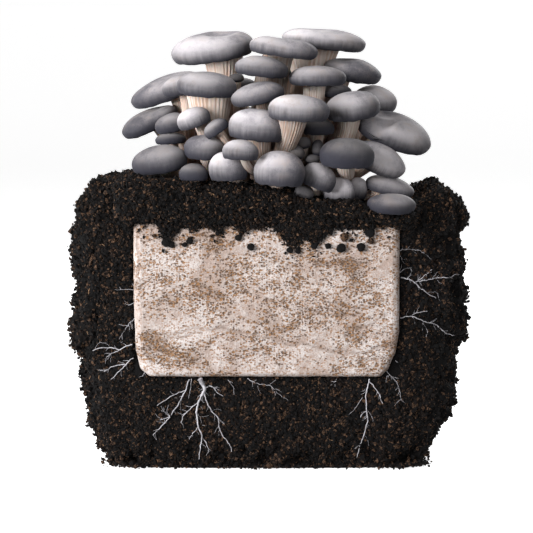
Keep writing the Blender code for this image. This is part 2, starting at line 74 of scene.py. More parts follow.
# Where stems start inside a foot, and the clearance between a stem's end and its cap
STEM_START_Z = 214.3
STEM_LOWEST_Z = 206.0
STEM_GAP = 0.35

# Places on a cap, as shares of its height up from its lowest edge, or of its width, and how high its crown is
RIM = 0.42
HOLLOW = 0.34
TUCK = 0.82
CURL = 0.73
CROWN = 1.05

# A gill's thickness as a share of its depth, and how far apart long gills are half way out
GILL_THICKNESS = 0.2
GILL_SPACING = 2.3


# Nodes


@dataclass(frozen=True)
class Wire:
    """One socket of a node tree, made on a bench. Arithmetic on it adds Math nodes."""

    bench: "Bench"
    socket: bpy.types.NodeSocket

    def math(self, operation: str, *values: "Wire | float") -> "Wire":
        """Adds a Math node.

        Args:
            operation: the node's operation.
            values: its inputs in order.

        Returns:
            Its result.
        """
        return self.bench.make("ShaderNodeMath", 0, {"operation": operation}, dict(enumerate(values)))

    def __add__(self, other: "Wire | float") -> "Wire":
        """The sum."""
        return self.math("ADD", self, other)

    def __radd__(self, other: "Wire | float") -> "Wire":
        """The sum."""
        return self.math("ADD", other, self)

    def __sub__(self, other: "Wire | float") -> "Wire":
        """The difference."""
        return self.math("SUBTRACT", self, other)

    def __rsub__(self, other: "Wire | float") -> "Wire":
        """The difference, from the other."""
        return self.math("SUBTRACT", other, self)

    def __mul__(self, other: "Wire | float") -> "Wire":
        """The product."""
        return self.math("MULTIPLY", self, other)

    def __rmul__(self, other: "Wire | float") -> "Wire":
        """The product."""
        return self.math("MULTIPLY", other, self)

    def __truediv__(self, other: "Wire | float") -> "Wire":
        """The quotient."""
        return self.math("DIVIDE", self, other)

    def __rtruediv__(self, other: "Wire | float") -> "Wire":
        """The quotient, of the other by this."""
        return self.math("DIVIDE", other, self)

    def __pow__(self, other: "Wire | float") -> "Wire":
        """The power."""
        return self.math("POWER", self, other)

    def above(self, limit: "Wire | float") -> "Wire":
        """One where this is more than the limit, and nought elsewhere."""
        return self.math("GREATER_THAN", self, limit)

    def rise(self, low: float, high: float) -> "Wire":
        """Eases from nought at low to one at high."""
        settings = {"interpolation_type": "SMOOTHSTEP"}
        return self.bench.make("ShaderNodeMapRange", 0, settings, {0: self, 1: low, 2: high})

    def output(self, name: str | int) -> "Wire":
        """Another output of the same node."""
        return Wire(self.bench, self.socket.node.outputs[name])


class Bench:
    """The nodes of one tree, made and linked by calls."""

    def __init__(self, tree: bpy.types.NodeTree) -> None:
        """Keeps the tree."""
        self.tree = tree

    def make(
        self, kind: str, output: str | int = 0, settings: dict | None = None, inputs: dict | None = None
    ) -> Wire:
        """Adds a node.

        Args:
            kind: the node's type.
            output: the output to return, by name or place.
            settings: its properties, which are set first.
            inputs: the value or wire of each socket, by name or place.

        Returns:
            The output's wire.
        """
        node = self.tree.nodes.new(kind)
        for name, value in (settings or {}).items():
            setattr(node, name, value)
        for key, value in (inputs or {}).items():
            if isinstance(value, Wire):
                self.tree.links.new(value.socket, node.inputs[key])
            else:
                node.inputs[key].default_value = value
        return Wire(self, node.outputs[output])

    def noise(
        self, where: Wire, scale: Wire | float, detail: float = 2.0, rough: float = 0.5, warp: float = 0.0
    ) -> Wire:
        """Smooth noise about a half, at a scale in cells a metre."""
        values = {"Vector": where, "Scale": scale, "Detail": detail, "Roughness": rough, "Distortion": warp}
        return self.make("ShaderNodeTexNoise", 0, None, values)

    def blend(self, share: Wire, first: Wire | Sequence[float], second: Wire | Sequence[float]) -> Wire:
        """A colour between two.

        Args:
            share: nought for the first, one for the second.
            first: a colour, as a wire or its three parts.
            second: the other colour.

        Returns:
            The mixed colour.
        """
        first = first if isinstance(first, Wire) else (*first, 1.0)
        second = second if isinstance(second, Wire) else (*second, 1.0)
        return self.make("ShaderNodeMix", 2, {"data_type": "RGBA"}, {0: share, 6: first, 7: second})

    def stretch(self, where: Wire, amounts: Sequence[float]) -> Wire:
        """A place scaled differently along each axis."""
        settings = {"operation": "MULTIPLY"}
        return self.make("ShaderNodeVectorMath", 0, settings, {0: where, 1: tuple(amounts)})


class Paint(Bench):
    """A material's nodes, with its Principled shader."""

    def __init__(self, name: str, **constants: float) -> None:
        """Makes the material.

        Args:
            name: its name.
            constants: values that are the same all over, by socket name with _ for a space.
        """
        self.material = bpy.data.materials.new(name)
        self.material.use_nodes = True
        super().__init__(self.material.node_tree)
        self.shader = self.tree.nodes["Principled BSDF"]
        for key, value in constants.items():
            self.shader.inputs[key.replace("_", " ")].default_value = value
        self.place = self.make("ShaderNodeTexCoord", "Object")

    def attribute(self, name: str, output: str = "Fac") -> Wire:
        """A value that the mesh carries."""
        return self.make("ShaderNodeAttribute", output, {"attribute_name": name})

    def finish(
        self, colour: Wire, relief: Wire, depth: float, roughness: Wire | None = None
    ) -> bpy.types.Material:
        """Joins colour and relief to the shader.

        Args:
            colour: the base colour.
            relief: the height of the surface, of which one is the depth.
            depth: how deep the relief is, in metres.
            roughness: how rough it is, where that varies.

        Returns:
            The material.
        """
        bump = self.make("ShaderNodeBump", 0, None, {"Height": relief, "Distance": depth, "Strength": 1.0})
        self.tree.links.new(colour.socket, self.shader.inputs["Base Color"])
        self.tree.links.new(bump.socket, self.shader.inputs["Normal"])
        if roughness:
            self.tree.links.new(roughness.socket, self.shader.inputs["Roughness"])
        return self.material


# Finishes


class Tone(Enum):
    """How light a cap's skin is: partly the cap's own tone, and partly painted light and shade, darker for
    caps that lie in other caps' shadow and paler for caps in the light.
    """

    SHADE = 0.32
    DARK = 0.55
    SLATE = 0.82
    GREY = 1.0
    ASH = 1.18
    PALE = 1.45


@dataclass(frozen=True)
class CapSkin:
    """Matt, finely velvety skin: dusty and pale on top, slate towards the margin, with faint fibrils. One
    side is painted paler as painted light. The margin is darker, partly its own colour and partly painted
    shade, and the curled-under rim is painted near black as painted shade. The paler the cap, the fainter its
    dark margin."""

    tone: Tone
    slate: tuple = (0.077, 0.074, 0.088)
    ash: tuple = (0.252, 0.234, 0.250)
    dust: tuple = (0.465, 0.440, 0.455)
    tan: tuple = (0.27, 0.205, 0.165)
    # The margin colour darkens the margin, partly its own colour and partly painted shade, and is the painted
    # shade on the curled-under rim
    margin: tuple = (0.018, 0.018, 0.026)
    brightest: float = 0.85

    def material(self) -> bpy.types.Material:
        """Builds the finish's nodes.

        Returns:
            The material.
        """
        paint = Paint(f"cap_skin_{self.tone.name.lower()}", Specular_IOR_Level=0.15, Sheen_Weight=0.03)
        tone = self.tone.value
        slate, ash, dust, tan = (
            tuple(min(self.brightest, part * tone) for part in colour)
            for colour in (self.slate, self.ash, self.dust, self.tan)
        )
        reach = paint.attribute("reach")
        fibrils = paint.noise(paint.attribute("grain", "Vector"), 1.0, 3.0, 0.6)
        mottle = paint.noise(paint.place, 48.0, 4.0, 0.55)
        blotch = paint.noise(paint.place, 130.0, 3.0, 0.6)
        velvet = paint.noise(paint.place, 1100.0, 2.0, 0.6)
        share = (mottle - 0.5) * 1.3 + (blotch - 0.5) * 0.6 + (fibrils - 0.5) * 0.14 + (velvet - 0.5) * 0.3
        # Painted light: the cap's given side is painted paler, as if the lamp fell on it
        share = share + paint.attribute("painted_lit_side") * 0.38
        colour = paint.blend((share + 0.71 - reach * 0.1).rise(0.0, 1.0), slate, ash)
        colour = paint.blend((share * 0.9 + 0.42 - reach * 0.05).rise(0.1, 0.9), colour, dust)
        warm = (blotch + (mottle - 0.5) * 0.8 + (velvet - 0.5) * 0.5).rise(0.45, 0.85)
        colour = paint.blend(warm * 0.42, colour, tan)
        # Darker towards the margin, partly the skin's own colour and partly painted shade; fainter on paler
        # caps
        margin_and_shade = (reach + (mottle - 0.5) * 0.2).rise(0.78, 1.08)
        colour = paint.blend(margin_and_shade * max(0.2, 1.2 - 0.6 * tone), colour, self.margin)
        # Painted shade: the curled-under rim and the skin under it are painted near black
        rim_line_and_shade = (reach + (fibrils - 0.5) * 0.06 + (mottle - 0.5) * 0.08).rise(0.94, 1.07)
        colour = paint.blend(rim_line_and_shade * 0.92, colour, self.margin)
        relief = fibrils * 0.12 + velvet * 0.25 + mottle * 0.8 + blotch * 0.5
        return paint.finish(colour, relief, 0.0005, 0.6 + mottle * 0.2)


@dataclass(frozen=True)
class GillFlesh:
    """Gills: cream, greyer in soft patches."""

    light: tuple = (0.50, 0.455, 0.41)
    shade: tuple = (0.24, 0.21, 0.19)

    def material(self) -> bpy.types.Material:
        """Builds the finish's nodes.

        Returns:
            The material.
        """
        paint = Paint("gill_flesh", Roughness=0.7, Specular_IOR_Level=0.15)
        soft = paint.noise(paint.place, 140.0, 3.0)
        fine = paint.noise(paint.place, 1500.0, 2.0)
        share = (soft * 0.8 + fine * 0.4).rise(0.3, 0.85)
        return paint.finish(paint.blend(share, self.shade, self.light), fine, 0.0002)


@dataclass(frozen=True)
class StemFlesh:
    """Stem: cream and finely ridged lengthwise, with tan streaks, tan in the furrows as painted shade,
    browner towards the foot partly as its own stain and partly as painted shade, and painted shade where it
    lies deep in the cluster.
    """

    cream: tuple = (0.57, 0.49, 0.44)
    tan: tuple = (0.44, 0.275, 0.19)
    white: tuple = (0.80, 0.76, 0.73)
    brown: tuple = (0.16, 0.095, 0.062)
    painted_shade: tuple = (0.105, 0.082, 0.076)

    def material(self) -> bpy.types.Material:
        """Builds the finish's nodes.

        Returns:
            The material.
        """
        paint = Paint("stem_flesh", Specular_IOR_Level=0.25, Subsurface_Weight=0.08, Subsurface_Scale=0.003)
        streaks = paint.noise(paint.attribute("grain", "Vector"), 1.0, 4.0, 0.65)
        patches = paint.noise(paint.place, 45.0, 3.0)
        ridge = paint.attribute("ridge")
        along = paint.attribute("along")
        colour = paint.blend((streaks * 0.7 + ridge * 0.3).rise(0.25, 0.8), self.cream, self.white)
        # Tan in the streaks, and tan in the furrows between ridges as painted shade
        tan_streaks_and_furrow_shade = (1.0 - ridge) * 0.22 + (patches - 0.35) * 0.9 + (streaks - 0.5) * 1.6 + (1.0 - along) * 0.12
        colour = paint.blend(tan_streaks_and_furrow_shade.rise(0.15, 0.8) * 0.85, colour, self.tan)
        # Browner towards the foot, partly the stems' own stain and partly painted shade low in the cluster
        low = (1.0 - along + (patches - 0.5) * 0.5 + (streaks - 0.5) * 0.3).rise(0.15, 0.75)
        colour = paint.blend(low * 0.75, colour, self.brown)
        # Painted shade: stems deep in the cluster are darkened by the bundle's given amount
        painted_shade = paint.attribute("painted_shade") * (0.5 + patches * 0.6 - ridge * 0.15)
        colour = paint.blend(painted_shade.rise(0.0, 1.0), colour, self.painted_shade)
        relief = streaks * 0.8 + ridge * 0.4
        return paint.finish(colour, relief, 0.0005, 0.5 + streaks * 0.25)


@dataclass(frozen=True)
class ColonisedSawdust:
    """Sawdust bound by mycelium: pinkish beige, cloudy with white growth, and speckled with brown grains, and
    painted darker along the bag's creases as painted shade.
    """

    beige: tuple = (0.34, 0.255, 0.215)
    white: tuple = (0.58, 0.53, 0.515)
    shade: tuple = (0.17, 0.115, 0.085)
    grain: tuple = (0.24, 0.112, 0.036)
    bark: tuple = (0.085, 0.042, 0.020)

    def material(self) -> bpy.types.Material:
        """Builds the finish's nodes.

        Returns:
            The material.
        """
        paint = Paint("colonised_sawdust", Roughness=0.85)
        clouds = paint.noise(paint.place, 24.0, 5.0, 0.62, 0.6)
        tufts = paint.noise(paint.place, 150.0, 4.0, 0.65, 0.6)
        fuzz = paint.noise(paint.place, 800.0, 3.0, 0.7)
        growth = (clouds * 1.0 + tufts * 0.6 + fuzz * 0.5).rise(0.86, 1.26)
        colour = paint.blend(growth, self.beige, self.white)
        damp = paint.noise(paint.stretch(paint.place, (1.0, 1.0, 1.5)), 27.0, 4.0, 0.65, 0.9)
        colour = paint.blend((damp + (tufts - 0.5) * 0.5).rise(0.50, 0.68) * 0.85, colour, self.shade)
        grain = self.grains(paint, 400.0, 0.38, damp)
        colour = paint.blend(grain * 0.9, colour, self.grain)
        chips = self.grains(paint, 560.0, 0.42, clouds)
        colour = paint.blend(chips * 0.7, colour, self.grain)
        bark = self.grains(paint, 520.0, 0.36, damp)
        colour = paint.blend(bark * 0.9, colour, self.bark)
        wisps = paint.noise(paint.stretch(paint.place, (1.0, 1.0, 2.2)), 210.0, 3.0, 0.6, 2.0)
        colour = paint.blend((wisps + (clouds - 0.5) * 0.6).rise(0.62, 0.72) * 0.75, colour, self.white)
        # Painted shade along the bag's creases
        crease_and_shade = paint.attribute("crease_and_shade")
        colour = paint.blend(crease_and_shade * (tufts + 0.1), colour, self.shade)
        relief = fuzz * 0.5 + tufts * 0.7 + wisps * 0.5 - grain * 0.3 - bark * 0.4
        return paint.finish(colour, relief, 0.0011)

    def grains(self, paint: Paint, scale: float, size: float, clump: Wire) -> Wire:
        """Grains of sawdust that show through, closer together where the clump is high.

        Args:
            paint: the material in the making.
            scale: grains a metre.
            size: how much of its cell a grain fills.
            clump: where they gather.

        Returns:
            One on a grain, nought elsewhere.
        """
        flat = paint.stretch(paint.place, (1.0, 1.0, 1.5))
        warp = {"Vector": paint.place, "Scale": scale * 0.6, "Detail": 2.0}
        bent = paint.make("ShaderNodeTexNoise", "Color", None, warp)
        shift = paint.make("ShaderNodeVectorMath", 0, {"operation": "SCALE"}, {0: bent, "Scale": 1.2 / scale})
        moved = paint.make("ShaderNodeVectorMath", 0, {"operation": "ADD"}, {0: flat, 1: shift})
        values = {"Vector": moved, "Scale": scale}
        cells = paint.make("ShaderNodeTexVoronoi", "Distance", {"feature": "F1"}, values)
        chance = paint.make("ShaderNodeSeparateColor", 0, None, {0: cells.output("Color")})
        there = (chance * 0.8 + (clump - 0.5) * 3.0).rise(0.43, 0.56)
        return (1.0 - cells.rise(size, size + 0.16)) * there


@dataclass(frozen=True)
class DampSoil:
    """Soil: nearly black where damp, warm brown on the dry crumbs, each of its own shade. On the bed between
    the crumbs the black is also painted shade in the gaps.
    """

    name: str
    black: tuple = (0.0018, 0.0015, 0.0016)
    brown: tuple = (0.0155, 0.0098, 0.0077)
    dry: tuple = (0.165, 0.092, 0.054)
    dry_from: float = 0.82

    def material(self) -> bpy.types.Material:
        """Builds the finish's nodes.

        Returns:
            The material.
        """
        paint = Paint(self.name, Roughness=0.95, Specular_IOR_Level=0.15)
        tone = paint.attribute("tone")
        clods = paint.noise(paint.place, 130.0, 4.0, 0.7)
        grit = paint.noise(paint.place, 900.0, 3.0, 0.7)
        patches = paint.noise(paint.place, 32.0, 3.0, 0.6)
        share = (clods * 0.4 + grit * 0.9 + (tone - 0.5) * 0.6 + (patches - 0.5) * 1.1).rise(0.6, 1.25)
        colour = paint.blend(share, self.black, self.brown)
        fleck = (tone + (grit - 0.5) * 1.8).rise(self.dry_from, self.dry_from + 0.25)
        colour = paint.blend(fleck * 0.7, colour, self.dry)
        return paint.finish(colour, clods * 0.8 + grit, 0.0012)


@dataclass(frozen=True)
class DryFibre:
    """Bits of bark, straw and wood fibre in the soil, from tan to dark brown."""

    tan: tuple = (0.30, 0.17, 0.085)
    bark: tuple = (0.055, 0.030, 0.018)

    def material(self) -> bpy.types.Material:
        """Builds the finish's nodes.

        Returns:
            The material.
        """
        paint = Paint("dry_fibre", Roughness=0.8)
        tone = paint.attribute("tone")
        grit = paint.noise(paint.place, 1200.0, 3.0)
        share = (tone ** 1.8 + (grit - 0.5) * 0.3).rise(0.05, 1.0)
        return paint.finish(paint.blend(share, self.bark, self.tan), grit, 0.0003)


@dataclass(frozen=True)
class MyceliumThread:
    """Mycelium: matt white, a little grey in patches."""

    white: tuple = (0.46, 0.445, 0.475)
    grey: tuple = (0.20, 0.19, 0.205)

    def material(self) -> bpy.types.Material:
        """Builds the finish's nodes.

        Returns:
            The material.
        """
        paint = Paint("mycelium_thread", Roughness=0.8)
        soft = paint.noise(paint.place, 260.0, 3.0)
        fuzz = paint.noise(paint.place, 1600.0, 2.0)
        colour = paint.blend((soft * 0.7 + fuzz * 0.3).rise(0.3, 0.6), self.grey, self.white)
        return paint.finish(colour, fuzz, 0.0003)


@dataclass(frozen=True)
class PaleFloor:
    """The studio's seamless white bowl, which glows a little so that it stays white all round."""

    white: tuple = (0.80, 0.80, 0.80)
    shade: tuple = (0.78, 0.78, 0.78)
    glow: float = 0.82

    def material(self) -> bpy.types.Material:
        """Builds the finish's nodes.

        Returns:
            The material.
        """
        paint = Paint("studio_white", Roughness=0.9, Emission_Strength=self.glow)
        paint.shader.inputs["Emission Color"].default_value = (1.0, 1.0, 1.0, 1.0)
        soft = paint.noise(paint.place, 2.0, 1.0)
        return paint.finish(paint.blend(soft, self.shade, self.white), soft, 0.0001)


@functools.cache
def material_of(finish: object) -> bpy.types.Material:
    """The material of a finish, made once."""
    return finish.material()


# Meshes


def add_object(name: str, mesh: bpy.types.Mesh) -> bpy.types.Object:
    """Puts a mesh in the scene.

    Args:
        name: the name of its object.
        mesh: the mesh.

    Returns:
        The object.
    """
    made = bpy.data.objects.new(name, mesh)
    bpy.context.scene.collection.objects.link(made)
    return made


def skin(
    name: str, rings: np.ndarray, ends: tuple = (None, None), carried: dict | None = None
) -> bpy.types.Object:
    """A closed skin through rings of equal length.

    Args:
        name: the object's name.
        rings: points in millimetres, as levels by points by three.
        ends: a point for the fan at each end, or None for one flat face.
        carried: values for the rings' points by name, as levels by points, or with three each.

    Returns:
        The object, with its faces outward.
    """
    levels, count, _ = rings.shape
    points = rings.reshape(-1, 3)
    here = np.arange(count)
    after = (here + 1) % count
    faces = []
    for level in range(levels - 1):
        low, high = level * count, (level + 1) * count
        faces += np.stack([low + here, low + after, high + after, high + here], 1).tolist()
    extra = []
    for end, base, flip in ((ends[0], 0, True), (ends[1], (levels - 1) * count, False)):
        line = (base + here).tolist()
        if end is None:
            faces.append(line[::-1] if flip else line)
            continue
        tip = len(points) + len(extra)
        extra.append((tuple(end), base))
        for a, b in zip(line, line[1:] + line[:1]):
            faces.append((b, a, tip) if flip else (a, b, tip))
    mesh = bpy.data.meshes.new(name)
    places = np.vstack([points] + [np.array([place]) for place, _ in extra])
    mesh.from_pydata((places * MM).tolist(), [], faces)
    for key, values in (carried or {}).items():
        flat = values.reshape(levels * count, -1)
        tips = [flat[base:base + count].mean(0) for _, base in extra]
        flat = np.vstack([flat] + [tip.reshape(1, -1) for tip in tips]).astype(np.float32)
        kind, field = ("FLOAT_VECTOR", "vector") if flat.shape[1] == 3 else ("FLOAT", "value")
        mesh.attributes.new(key, kind, "POINT").data.foreach_set(field, flat.ravel())
    build = bmesh.new()
    build.from_mesh(mesh)
    if build.calc_volume(signed=True) < 0:
        bmesh.ops.reverse_faces(build, faces=build.faces)
    build.to_mesh(mesh)
    build.free()
    mesh.shade_smooth()
    return add_object(name, mesh)


def grid(name: str, places: np.ndarray) -> bpy.types.Object:
    """A sheet of square faces.

    Args:
        name: the object's name.
        places: its points in millimetres, as rows by columns by three.

    Returns:
        The object.
    """
    count = places.shape[1]
    faces = [
        (i * count + j, (i + 1) * count + j, (i + 1) * count + j + 1, i * count + j + 1)
        for i in range(places.shape[0] - 1) for j in range(count - 1)
    ]
    mesh = bpy.data.meshes.new(name)
    mesh.from_pydata((places.reshape(-1, 3) * MM).tolist(), [], faces)
    return add_object(name, mesh)


def joined(name: str, parts: Sequence[bpy.types.Object]) -> bpy.types.Object:
    """Joins objects into one.

    Args:
        name: the name of the result.
        parts: the objects, which are used up.

    Returns:
        The first of them, renamed.
    """
    if len(parts) > 1:
        bpy.context.view_layer.objects.active = parts[0]
        with bpy.context.temp_override(active_object=parts[0], selected_editable_objects=list(parts)):
            bpy.ops.object.join()
    parts[0].name = name
    parts[0].data.name = name
    return parts[0]


def evaluated(made: bpy.types.Object) -> bpy.types.Object:
    """Turns what an object's modifiers give into its own plain mesh, and removes them.

    Args:
        made: the object.

    Returns:
        The same object.
    """
    bpy.context.view_layer.update()
    graph = bpy.context.evaluated_depsgraph_get()
    mesh = bpy.data.meshes.new_from_object(made.evaluated_get(graph))
    made.modifiers.clear()
    made.data = mesh
    return made


def node_copy(name: str, node: str) -> bpy.types.Object:
    """A copy of a solid with its loose triangles merged, so that it can be shaped further.

    Args:
        name: the copy's name.
        node: the solid's node.

    Returns:
        The copy, without a material.
    """
    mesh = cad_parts[node].data.copy()
    build = bmesh.new()
    build.from_mesh(mesh)
    bmesh.ops.remove_doubles(build, verts=build.verts, dist=0.01 * MM)
    build.to_mesh(mesh)
    build.free()
    mesh.materials.clear()
    return add_object(name, mesh)


def remesh(made: bpy.types.Object, voxel: float, smoothing: int) -> bpy.types.Object:
    """Gives an object an even mesh.

    Args:
        made: the object.
        voxel: the size of a face in millimetres.
        smoothing: how many times it is smoothed.

    Returns:
        The same object.
    """
    modifier = made.modifiers.new("even", "REMESH")
    modifier.mode = "VOXEL"
    modifier.voxel_size = voxel * MM
    if smoothing:
        ease = made.modifiers.new("ease", "SMOOTH")
        ease.iterations = smoothing
        ease.factor = 0.5
    return evaluated(made)


def points_of(mesh: bpy.types.Mesh) -> np.ndarray:
    """A mesh's points.

    Args:
        mesh: the mesh.

    Returns:
        The points in millimetres, one a row.
    """
    flat = np.empty(len(mesh.vertices) * 3)
    mesh.vertices.foreach_get("co", flat)
    return flat.reshape(-1, 3) / MM


def set_points(mesh: bpy.types.Mesh, points: np.ndarray) -> None:
    """Moves a mesh's points, given in millimetres."""
    mesh.vertices.foreach_set("co", (points * MM).ravel())
    mesh.update()


def keep_up(mesh: bpy.types.Mesh) -> None:
    """Lifts any point that is below the floor on to it.

    Args:
        mesh: the mesh.
    """
    points = points_of(mesh)
    points[:, 2] = np.maximum(points[:, 2], FLOOR_Z)
    set_points(mesh, points)


def carry(mesh: bpy.types.Mesh, name: str, values: np.ndarray) -> None:
    """Stores a value for each point of a mesh."""
    found = mesh.attributes.get(name) or mesh.attributes.new(name, "FLOAT", "POINT")
    found.data.foreach_set("value", values.astype(np.float32))


def eased(value: np.ndarray | float, low: float, high: float) -> np.ndarray:
    """Eases from nought at low to one at high."""
    share = np.clip((np.asarray(value, float) - low) / (high - low), 0.0, 1.0)
    return share * share * (3 - 2 * share)


def lumps(points: np.ndarray, size: float) -> np.ndarray:
    """Smooth noise from about -1 to 1 at each point, in lumps of a size in millimetres."""
    flat = points.reshape(-1, 3) / size
    return np.array([noise.noise(Vector(p)) for p in flat]).reshape(points.shape[:-1])


def full_turn(count: int) -> np.ndarray:
    """Angles evenly spaced round a turn."""
    return np.arange(count) * TURN / count


def circle(angles: np.ndarray) -> np.ndarray:
    """The points of a flat circle of radius one, at these angles."""
    return np.stack([np.cos(angles), np.sin(angles)], 1)


def raised(flat: np.ndarray, height: float) -> np.ndarray:
    """Flat points, all lifted to one height."""
    return np.column_stack([flat, np.full(len(flat), height)])


def dress(piece: bpy.types.Object, finish: object) -> None:
    """Gives a piece its finish."""
    piece.data.materials.append(material_of(finish))


def hand_in(piece: bpy.types.Object, nodes: Sequence[str] = ()) -> None:
    """Args:
        piece: the piece, in its place.
        nodes: the solids that it replaces.
    """
    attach(piece, BODY)
    if nodes:
        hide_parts(*nodes)
    log.info("%s: %d faces, for %s", piece.name, len(piece.data.polygons), ", ".join(nodes) or "detail")


# Geometry Nodes


class Recipe(Bench):
    """A Geometry Nodes tree with named inputs."""

    def __init__(self, name: str, inputs: dict[str, str]) -> None:
        """Makes the tree.

        Args:
            name: its name.
            inputs: the type of each named input, after the geometry.
        """
        super().__init__(bpy.data.node_groups.new(name, "GeometryNodeTree"))
        for key, kind in ({"Geometry": "Geometry"} | inputs).items():
            self.tree.interface.new_socket(key, in_out="INPUT", socket_type=f"NodeSocket{kind}")
        self.tree.interface.new_socket("Geometry", in_out="OUTPUT", socket_type="NodeSocketGeometry")
        self.entry = self.tree.nodes.new("NodeGroupInput")

    def input(self, name: str) -> Wire:
        """The wire of a named input."""
        return Wire(self, self.entry.outputs[name])

    def carried(self, name: str) -> Wire:
        """A number that the mesh carries at each point."""
        return self.make("GeometryNodeInputNamedAttribute", 0, {"data_type": "FLOAT"}, {"Name": name})

    def random(self, low: float, high: float, seed: Wire | int) -> Wire:
        """A random number for each point."""
        return self.make("FunctionNodeRandomValue", 1, {"data_type": "FLOAT"}, {2: low, 3: high, 8: seed})

    def random_vector(self, low: float, high: float, seed: Wire | int) -> Wire:
        """Three random numbers for each point."""
        values = {0: (low, low, low), 1: (high, high, high), 8: seed}
        return self.make("FunctionNodeRandomValue", 0, {"data_type": "FLOAT_VECTOR"}, values)

    def scaled(self, vector: Wire, amount: Wire | float) -> Wire:
        """A vector times a number."""
        return self.make("ShaderNodeVectorMath", 0, {"operation": "SCALE"}, {0: vector, "Scale": amount})

    def shake(self, scale: float, detail: float, amount: Wire | float, seed: Wire | None = None) -> Wire:
        """A smooth offset that differs from place to place.

        Args:
            scale: its cells a metre.
            detail: how much fine change it has.
            amount: how large it is, in metres.
            seed: what sets it apart from others, if anything does.

        Returns:
            The offset.
        """
        settings = {"noise_dimensions": "4D" if seed else "3D"}
        values = {"Vector": self.make("GeometryNodeInputPosition"), "Scale": scale, "Detail": detail}
        if seed:
            values["W"] = seed
        cloud = self.make("ShaderNodeTexNoise", "Color", settings, values)
        middle = {0: cloud, 1: (0.5, 0.5, 0.5)}
        return self.scaled(self.make("ShaderNodeVectorMath", 0, {"operation": "SUBTRACT"}, middle), amount)

    def moved(self, shapes: Wire, offset: Wire) -> Wire:
        """Geometry with each point moved by its offset."""
        return self.make("GeometryNodeSetPosition", 0, None, {0: shapes, "Offset": offset})

    def swept(self, paths: Wire, section: Wire, scale: Wire) -> Wire:
        """Closed tubes of a section along paths."""
        values = {0: paths, 1: section, "Scale": scale, "Fill Caps": True}
        return self.make("GeometryNodeCurveToMesh", 0, None, values)

    def scattered(self) -> Wire:
        """Random points on the surface, as close together as the density and its own points allow.

        Returns:
            The points, with their normals and rotations as other outputs.
        """
        density = self.input("Density") * self.carried("here")
        values = {"Mesh": self.input("Geometry"), "Density": density, "Seed": self.input("Seed")}
        return self.make("GeometryNodeDistributePointsOnFaces", "Points", None, values)

    def toned(self, shapes: Wire) -> Wire:
        """Gives each point a random tone, for its finish to read.

        Args:
            shapes: the points.

        Returns:
            The same points.
        """
        settings = {"data_type": "FLOAT", "domain": "POINT"}
        values = {0: shapes, "Name": "tone", "Value": self.random(0.0, 1.0, self.input("Seed") + 2)}
        return self.make("GeometryNodeStoreNamedAttribute", 0, settings, values)

    def close(self, shapes: Wire, smooth: bool) -> None:
        """Ends the tree: instances made real, shading and material set.

        Args:
            shapes: the geometry so far.
            smooth: whether it is shaded smooth.
        """
        real = self.make("GeometryNodeRealizeInstances", 0, None, {0: shapes})
        shaded = self.make("GeometryNodeSetShadeSmooth", 0, None, {0: real, "Shade Smooth": smooth})
        values = {0: shaded, "Material": self.input("Material")}
        dressed = self.make("GeometryNodeSetMaterial", 0, None, values)
        way_out = self.tree.nodes.new("NodeGroupOutput")
        self.tree.links.new(dressed.socket, way_out.inputs[0])

    def run(self, name: str, ground: bpy.types.Object, values: dict) -> bpy.types.Object:
        """Runs the tree on an object's mesh.

        Args:
            name: the new object's name.
            ground: the object that it starts from, which stays as it is.
            values: the value of each named input.

        Returns:
            The result as a new plain mesh object.
        """
        made = add_object(name, ground.data.copy())
        modifier = made.modifiers.new(self.tree.name, "NODES")
        modifier.node_group = self.tree
        for item in self.tree.interface.items_tree:
            if item.in_out == "INPUT" and item.name in values:
                modifier[item.identifier] = values[item.name]
        evaluated(made)
        made.data.name = name
        return made


@functools.cache
def blade_recipe() -> Recipe:
    """Thin blades that follow paths and are as deep as each path's points say.

    Returns:
        The recipe.
    """
    recipe = Recipe("gill_blades", {"Thickness": "Float", "Material": "Material"})
    paths = recipe.make("GeometryNodeMeshToCurve", 0, None, {0: recipe.input("Geometry")})
    upright = recipe.make("GeometryNodeSetCurveNormal", 0, {"mode": "Z_UP"}, {0: paths})
    sides = {"Width": recipe.input("Thickness"), "Height": 1.0}
    section = recipe.make("GeometryNodeCurvePrimitiveQuadrilateral", 0, None, sides)
    recipe.close(recipe.swept(upright, section, recipe.carried("depth")), smooth=False)
    return recipe


@functools.cache
def thread_recipe() -> Recipe:
    """Round threads that follow paths, with a slight tremble, as thick as each path's points say.

    Returns:
        The recipe.
    """
    recipe = Recipe("threads", {
        "Step": "Float", "Tremble": "Float", "Sides": "Int", "Seed": "Int", "Material": "Material",
    })
    paths = recipe.make("GeometryNodeMeshToCurve", 0, None, {0: recipe.input("Geometry")})
    spacing = {0: paths, "Length": recipe.input("Step")}
    even = recipe.make("GeometryNodeResampleCurve", 0, {"mode": "LENGTH"}, spacing)
    offset = recipe.shake(420.0, 2.0, recipe.input("Tremble"), recipe.input("Seed") * 0.37)
    circle = {"Resolution": recipe.input("Sides"), "Radius": 1.0}
    section = recipe.make("GeometryNodeCurvePrimitiveCircle", 0, None, circle)
    where = recipe.make("GeometryNodeInputPosition")
    uneven = recipe.carried("thickness") * (0.75 + recipe.noise(where, 900.0) * 0.5)
    recipe.close(recipe.swept(recipe.moved(even, offset), section, uneven), smooth=True)
    return recipe


